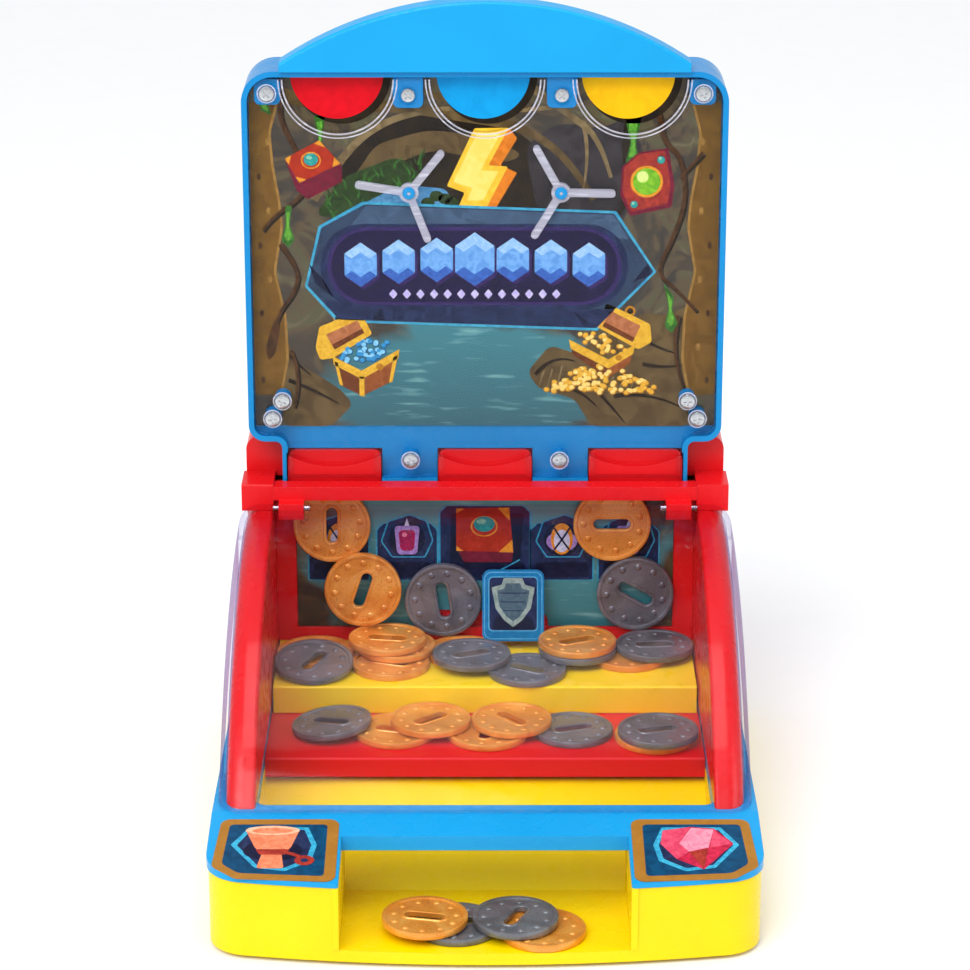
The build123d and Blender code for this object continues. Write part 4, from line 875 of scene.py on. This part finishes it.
for u, v in ((-52.0, 163.0), (51.4, 165.6)):
    lay_disc(sheet, coin_deep_ink, (u, v), 1.9, 9)
    lay_disc(sheet, umber_ink, (u, v), 1.1, 10)
lay_outline(sheet, wood_deep_ink, [(-53.8, 147.4), (-43.9, 142.0), (-43.9, 134.2), (-51.6, 138.2)], 12,
            0.3)
lay_outline(sheet, wood_ink, [(-43.9, 142.0), (-30.6, 150.0), (-33.0, 139.6), (-43.9, 134.2)], 12, 0.3)
lay_heap((jewel_ink, jewel_light_ink, jewel_deep_ink), 46,
         lambda u, v: ((u + 42.4) / 8.6) ** 2 + ((v - 150.6 - 0.28 * (u + 42.4)) / 4.0) ** 2 < 1, 1.15,
         13)
for strip in ([(-54.2, 149.0), (-43.9, 143.6), (-43.9, 140.4), (-53.8, 145.8)],
              [(-43.9, 143.6), (-30.4, 151.6), (-30.8, 148.2), (-43.9, 140.4)],
              [(-44.8, 141.4), (-43.0, 141.4), (-43.0, 134.0), (-44.8, 134.2)],
              [(-32.6, 148.6), (-31.0, 149.4), (-33.0, 139.4), (-34.2, 139.2)],
              [(-53.6, 147.0), (-52.4, 146.6), (-50.6, 138.0), (-51.8, 138.4)]):
    lay_outline(sheet, brass_ink, strip, 15, 0.2)
lay_disc(sheet, coin_deep_ink, (-37.4, 145.0), 1.3, 16)
lay_outline(sheet, wood_deep_ink, [(30.2, 154.0), (43.9, 146.4), (43.9, 141.0), (31.2, 149.4)], 12, 0.3)
lay_outline(sheet, wood_ink, [(43.9, 146.4), (53.0, 152.0), (51.4, 146.0), (43.9, 141.0)], 12, 0.3)
lay_heap((coin_ink, coin_light_ink, coin_deep_ink), 34,
         lambda u, v: ((u - 41.6) / 8.4) ** 2 + ((v - 153.6 + 0.3 * (u - 41.6)) / 3.4) ** 2 < 1, 1.05, 13)
for strip in ([(29.8, 155.2), (43.9, 147.8), (43.9, 144.4), (30.4, 151.8)],
              [(43.9, 147.8), (53.4, 153.4), (52.6, 149.8), (43.9, 144.4)]):
    lay_outline(sheet, brass_ink, strip, 15, 0.2)
lay_disc(sheet, coin_deep_ink, (47.6, 148.4), 1.1, 16)
lay_heap((coin_ink, coin_light_ink, coin_deep_ink), 120,
         lambda u, v: 135.2 < v < 137.5 + 11.0 * (1 - abs(u - 41.0) / 19.5) - (3.0 if 38 < u < 48 else 0),
         1.15, 16)

# the coloured half rounds behind the inlets, and the strokes of shade beside them
for u, paint, deep in ((-51.3, "#E2081C", "#D60619"), (-0.6, "#0AA0E2", "#0797DA"),
                       (49.6, "#FCC20A", "#F8B806")):
    half_round = [(u + 16.2 * cos(radians(a)), min(250.1,
                                                   251.2 + 16.2 * sin(radians(a)))) for a in range(180,
                                                                                                   361,
                                                                                                   6)]
    shade = [(u + 1.6 + 17.2 * cos(radians(a)), min(250.1, 250.8 + 17.6 * sin(radians(a))))
             for a in range(180, 361, 6)]
    lay_outline(sheet, umber_ink, [(a, b) for a, b in shade if b < 250.0] + [(u + 18.6, 250.1),
                                                                             (u - 15.6, 250.1)], 9)
    lay_outline(sheet, ink("inlet_ink_" + paint[1:], paint, deep, 8.0),
                [(a, b) for a, b in half_round if b < 250.0] + [(u + 16.1, 250.1), (u - 16.1, 250.1)], 10)
header_card_face = 180.9
place_print("header_print", sheet, upright_at(header_card_face), "root", "printed_card")

# ---- header screws -------------------------------------------------------------------------------
# Zinc-plated pan-head screws with a cross recess, eight through clear bosses of the panel and
# two through the blue blocks beside the middle inlet.
recess = [(0.35, 0.35), (0.35, 1.5), (-0.35, 1.5), (-0.35, 0.35), (-1.5, 0.35), (-1.5, -0.35),
          (-0.35, -0.35),
          (-0.35, -1.5), (0.35, -1.5), (0.35, -0.35), (1.5, -0.35), (1.5, 0.35)]


def pan_head(radius, height):
    """A pan head standing on Z = 0 with its cross recess sunk into the crown, and a short shank."""
    shape = bmesh.new()
    corners = [shape.verts.new((u, v, height)) for u, v in recess]
    cross = [shape.edges.new((a, b)) for a, b in zip(corners, corners[1:] + corners[:1])]
    rim = bmesh.ops.create_circle(shape, segments=24, radius=radius * 0.72,
                                  matrix=Matrix.Translation((0, 0, height)))["verts"]
    crown = list({e for v in rim for e in v.link_edges})
    bmesh.ops.bridge_loops(shape, edges=cross + crown)
    ring = crown
    for r, z in ((radius * 0.9, height * 0.84), (radius, height * 0.45), (radius, 0.0), (1.45, 0.0),
                 (1.45, -4.0)):
        ring = push_in(shape, ring, r, z)
    bmesh.ops.contextual_create(shape, geom=ring)
    walls = bmesh.ops.extrude_edge_only(shape, edges=cross)["geom"]
    sunk = [v for v in walls if isinstance(v, bmesh.types.BMVert)]
    bmesh.ops.translate(shape, vec=(0, 0, -height * 0.6), verts=sunk)
    bmesh.ops.contextual_create(shape, geom=[e for e in walls if isinstance(e, bmesh.types.BMEdge)
                                             and all(v in sunk for v in e.verts)])
    bmesh.ops.recalc_face_normals(shape, faces=shape.faces[:])
    return shape


screws = bmesh.new()
wide, narrow = pan_head(2.75, 1.0), pan_head(2.55, 1.0)
turns = random.Random(3)
clear_boss_face, blue_boss_face, rear_cover_face = 174.75, 177.5, 202.0
for s in (-1, 1):
    for x, z in clear_bosses:
        copied_into(screws, wide, upright_at(clear_boss_face, s * x, z)
                    @ Matrix.Rotation(turns.uniform(0, pi), 4, "Z"))
for x in (-26.6, 26.6):
    copied_into(screws, narrow, upright_at(blue_boss_face, x, 244.0)
                @ Matrix.Rotation(turns.uniform(0, pi), 4, "Z"))
place_piece("header_screws_crossed", screws, [zinc], "root", "zinc_screws", "header_screws")

# Six more hold the rear cover, their heads just proud of it.
rear_screws = bmesh.new()
for x in (-74.0, 0.0, 74.0):
    for z in (127.0, 243.5):
        copied_into(rear_screws, narrow, Matrix.Translation((x, back(rear_cover_face),
                                                             z)) @ Matrix.Rotation(-pi / 2, 4, "X")
                    @ Matrix.Rotation(turns.uniform(0, pi), 4, "Z"))
place_piece("rear_cover_screws", rear_screws, [zinc], "root", "zinc_screws")
wide.free()
narrow.free()

# ---- spinner caps -------------------------------------------------------------------------
# Blue ABS push-on caps that keep the clear spinners on their pins.
cap = turned([(0.9, 0.0), (2.0, 0.0), (2.25, 0.2), (2.1, 0.62), (1.3, 0.78), (0.55, 0.78), (0.5, 0.45)],
             28)
for name, x in (("spinner_cap_left", -26.6), ("spinner_cap_right", 26.6)):
    shape = bmesh.new()
    copied_into(shape, cap, upright_at(178.38, x, 209.0))
    place_piece(name, shape, [deck_abs], "root", "blue_abs")
cap.free()

# ---- tokens ------------------------------------------------------------------------------------------
# Pearlescent tokens, injection moulded in gold or graphite: a raised rim, eleven small domes
# inside it, and a slot through the middle with its own raised lip. 28 mm across, 2.4 mm thick.
def pearl(name, paint, bright, deep):
    """Mica-filled plastic: metallic glitter in swirls that follow the melt's flow."""
    finish = bpy.data.materials.new(name)
    finish.use_nodes = True
    skin = finish.node_tree.nodes["Principled BSDF"]
    skin.inputs["Metallic"].default_value = 0.35
    skin.inputs["Coat Weight"].default_value = 0.35
    skin.inputs["Coat Roughness"].default_value = 0.12
    place = add(finish, "ShaderNodeTexCoord").outputs["Object"]
    swirl = add(finish, "ShaderNodeTexNoise", {"Vector": place, "Scale": 1 / 0.011, "Detail": 2.0,
                                               "Distortion": 1.2})
    flow = add(finish, "ShaderNodeValToRGB", {"Fac": swirl.outputs["Fac"]})
    tones = flow.color_ramp.elements
    tones[0].position, tones[0].color = 0.34, linear(deep)
    tones[1].position, tones[1].color = 0.68, linear(bright)
    tones.new(0.5).color = linear(paint)
    mica = add(finish, "ShaderNodeTexNoise", {"Vector": place, "Scale": 1 / 0.0006, "Detail": 2.0})
    dull = add(finish, "ShaderNodeMapRange", {"Value": mica.outputs["Fac"], "From Min": 0.35,
                                              "From Max": 0.65, "To Min": 0.26, "To Max": 0.42})
    finish.node_tree.links.new(flow.outputs["Color"], skin.inputs["Base Color"])
    finish.node_tree.links.new(dull.outputs["Result"], skin.inputs["Roughness"])
    return finish


gold = pearl("gold_mica_plastic", "#E89A3A", "#F2AE52", "#DC8A2C")
graphite = pearl("graphite_mica_plastic", "#6C6D73", "#7D7F86", "#5E5F65")
token_r, token_t, slot_len, slot_w = 14.0, 2.4, 13.5, 4.0
slot_half = (slot_len - slot_w) / 2


def slot_ring(shape, ring, outset, z, from_slot=True):
    """The next ring inwards, on an outline round the slot; from_slot is False off the round rim."""
    made = bmesh.ops.extrude_edge_only(shape, edges=ring)["geom"]
    for v in made:
        if isinstance(v, bmesh.types.BMVert):
            shift = copysign(slot_half, v.co.x)
            angle = atan2(v.co.y, v.co.x - (shift if from_slot else 0.0))
            r = slot_w / 2 + outset
            v.co = (shift + r * cos(angle), r * sin(angle), z)
    return [e for e in made if isinstance(e, bmesh.types.BMEdge)]


def token_shape():
    """One token, centred; the upper half is built from rim to slot, and mirrored."""
    shape = bmesh.new()
    bmesh.ops.create_circle(shape, segments=56, radius=token_r,
                            matrix=Matrix.Rotation(pi / 56, 4, "Z"))
    ring = shape.edges[:]
    for r, z in ((14.0, 0.85), (13.85, 1.12), (13.6, 1.2), (12.75, 1.2), (12.5, 1.1), (12.35, 0.72)):
        ring = push_in(shape, ring, r, z)
    ring = slot_ring(shape, ring, 1.15, 0.72, from_slot=False)
    for outset, z in ((0.95, 1.0), (0.3, 1.0), (0.0, 0.8), (0.0, 0.0)):
        ring = slot_ring(shape, ring, outset, z)
    for k in range(11):
        a = radians(360 / 11 * (k + 0.5))
        bmesh.ops.create_uvsphere(shape, u_segments=10, v_segments=6, radius=1.0,
                                  matrix=Matrix.Translation(
            (10.3 * cos(a), 10.3 * sin(a), 0.68)) @ Matrix.Diagonal((1.3, 1.3, 0.5, 1)))
    bmesh.ops.mirror(shape, geom=shape.verts[:] + shape.edges[:] + shape.faces[:], axis="Z",
                     merge_dist=0.0005)
    bmesh.ops.recalc_face_normals(shape, faces=shape.faces[:])
    return shape


coin = token_shape()
pile = token_t + 0.1


def lying(x, s, base, layer, turn=0.0):
    z = base + 0.1 + token_t / 2 + layer * pile
    return Matrix.Translation((x, back(s), z)) @ Matrix.Rotation(radians(turn), 4, "Z")


def leaning(x, s, base, over, turn=0.0):
    """One edge on the base, the other on the rim of the token at 'over'."""
    dx, ds = over[0] - x, over[1] - s
    tilt = atan2(pile + 0.15, hypot(dx, ds))
    heading = atan2(ds, dx)
    z = base + 0.2 + token_r * sin(tilt) + token_t / 2 * cos(tilt)
    return (Matrix.Translation((x, back(s), z)) @ Matrix.Rotation(heading, 4,
                                                                  "Z") @ Matrix.Rotation(-tilt, 4, "Y")
            @ Matrix.Rotation(radians(turn) - heading, 4, "Z"))


def standing(x, s, z, turn=0.0):
    return upright_at(s, x, z) @ Matrix.Rotation(radians(turn), 4, "Z")


floor_z, deck_top, shelf_top, wall_s = 5.0, 31.0, 41.3, 178.0
edge = 134.0 - token_r - 0.5
rear = wall_s - token_r - 0.6
stand_s = wall_s - 0.3 - token_t / 2
wall_stand_s = wall_s - 0.05 - token_t / 2
third = shelf_top + 3 * pile
dark_x, high_x = 54.5, 45.8
dark_z = shelf_top + 2 * pile + 0.1 + token_r
high_z = dark_z + (4 * (token_r + 0.05) ** 2 - (dark_x - high_x) ** 2) ** 0.5
for name, node, body, finish, slot, places in (
        ("tray_gold", "tray_tokens_gold", "root", gold, "gold_token",
         (lying(-19.4, 17.9, floor_z, 1, -12), lying(18.6, 14.3, floor_z, 0, 60))),
        ("tray_silver", "tray_tokens_silver", "root", graphite, "silver_token",
         (lying(-9.2, 18.3, floor_z, 0, 20), lying(9.9, 17.9, floor_z, 1, 66))),
        ("deck_gold", "deck_tokens_gold", "deck_pile", gold, "gold_token",
         (lying(-31.4, edge - 3.8, deck_top, 0, -15), lying(-19.0, edge, deck_top, 1, 40),
          lying(0.7, edge - 5.6, deck_top, 0, 80), lying(9.3, edge - 0.2, deck_top, 1, -50),
          lying(59.0, edge - 8.2, deck_top, 0, 10))),
        ("deck_silver", "deck_tokens_silver", "deck_pile", graphite, "silver_token",
         (leaning(-53.5, edge - 1.0, deck_top, (-31.4, edge - 3.8), -25),
          lying(30.7, edge - 3.0, deck_top, 0, 18),
          lying(60.0, edge - 9.7, deck_top, 1, 14))),
        ("shelf_gold", "shelf_tokens_gold", "pusher", gold, "gold_token",
         (lying(-61.0, rear, shelf_top, 0, 12), lying(-33.8, rear - 10.9, shelf_top, 0, -20),
          lying(-31.8, rear - 0.4, shelf_top, 1, -30), lying(-35.2, rear, shelf_top, 2, -8),
          lying(-7.6, rear, shelf_top, 0, 8), lying(51.6, rear - 2.9, shelf_top, 0, -35),
          lying(33.2, rear - 2.4, shelf_top, 2, 25),
          standing(-44.2, stand_s - pile, third + token_r, 72))),
        ("shelf_silver", "shelf_tokens_silver", "pusher", graphite, "silver_token",
         (leaning(-61.0, rear - 15.4, shelf_top, (-61.0, rear), 60),
          lying(-4.8, rear - 8.9, shelf_top, 1, 22),
          lying(15.0, rear - 17.0, shelf_top, 0, -30), lying(33.3, rear - 2.9, shelf_top, 1, 60),
          lying(61.2, rear, shelf_top, 1, 4), standing(-15.2, stand_s, shelf_top + pile + 0.1 + token_r,
                                                       98),
          standing(dark_x, stand_s, dark_z, -30))),
        ("wall_gold", "wall_tokens_gold", "root", gold, "gold_token",
         (standing(-55.2, wall_stand_s, third + token_r + 23.9, 90),
          standing(high_x, wall_stand_s, high_z, 0)))):
    shape = bmesh.new()
    for place in places:
        copied_into(shape, coin, place)
    place_piece("tokens_" + name, shape, [finish], body, slot, node)
coin.free()

# ---- prize tile ----------------------------------------------------------------------------------------
# A thick printed tile that stands among the tokens: blue border, dark field and a plain shield.
tile_border_ink = ink("tile_blue_ink", "#1C7FB4", "#166FA0", 4.0)
tile_rim_ink = ink("tile_pale_blue_ink", "#5FB3D8", "#4A9EC8", 3.0)
shield_ink = ink("shield_rim_ink", "#9DB3A8", "#7F978E", 2.0)
shield_face_ink = ink("shield_face_ink", "#56707A", "#465E68", 2.5)
dress(tile_border_ink, "prize_tile")
sheet = {"print": bmesh.new(), "inks": []}
lay_outline(sheet, tile_rim_ink, [(-10.6, 0.7), (10.6, 0.7), (10.6, 25.3), (-10.6, 25.3)], 1, 2.6)
lay_outline(sheet, tile_border_ink, [(-10.2, 1.1), (10.2, 1.1), (10.2, 24.9), (-10.2, 24.9)], 2, 2.4)
lay_outline(sheet, tile_rim_ink, [(-9.0, 3.6), (9.0, 3.6), (9.0, 23.6), (-9.0, 23.6)], 3, 1.6)
lay_outline(sheet, plate_ink, [(-8.6, 4.0), (8.6, 4.0), (8.6, 23.2), (-8.6, 23.2)], 4, 1.4)
lay_outline(sheet, plate_deep_ink, [(-8.0, 4.4), (8.0, 4.4), (6.4, 9.0), (-6.4, 9.0)], 5, 1.0)
shield = [(-7.8, 19.6), (-4.2, 20.6), (-3.4, 23.0), (3.4, 23.0), (4.2, 20.6), (7.8, 19.6), (6.4, 12.0),
          (3.2, 7.6),
          (0.0, 5.2), (-3.2, 7.6), (-6.4, 12.0)]
lay_outline(sheet, shield_ink, shield, 6, 0.3)
lay_outline(sheet, shield_face_ink, [(u * 0.76, 14.4 + (v - 14.4) * 0.78) for u, v in shield], 7, 0.3)
for v in (11.2, 14.4, 17.6):
    lay_stroke(sheet, plate_ink, [(-5.0 + (17.6 - v) * 0.2, v), (0, v - 0.2),
                                  (5.0 - (17.6 - v) * 0.2, v)], 0.35, 8)
tile_face = (Matrix.Translation((10.2, back(rear + 6.6), shelf_top + pile + 0.6))
             @ Matrix.Rotation(radians(75), 4, "X") @ Matrix.Translation((0, 0, 1.4)))
place_print("prize_tile_print", sheet, tile_face, "pusher", "printed_card")
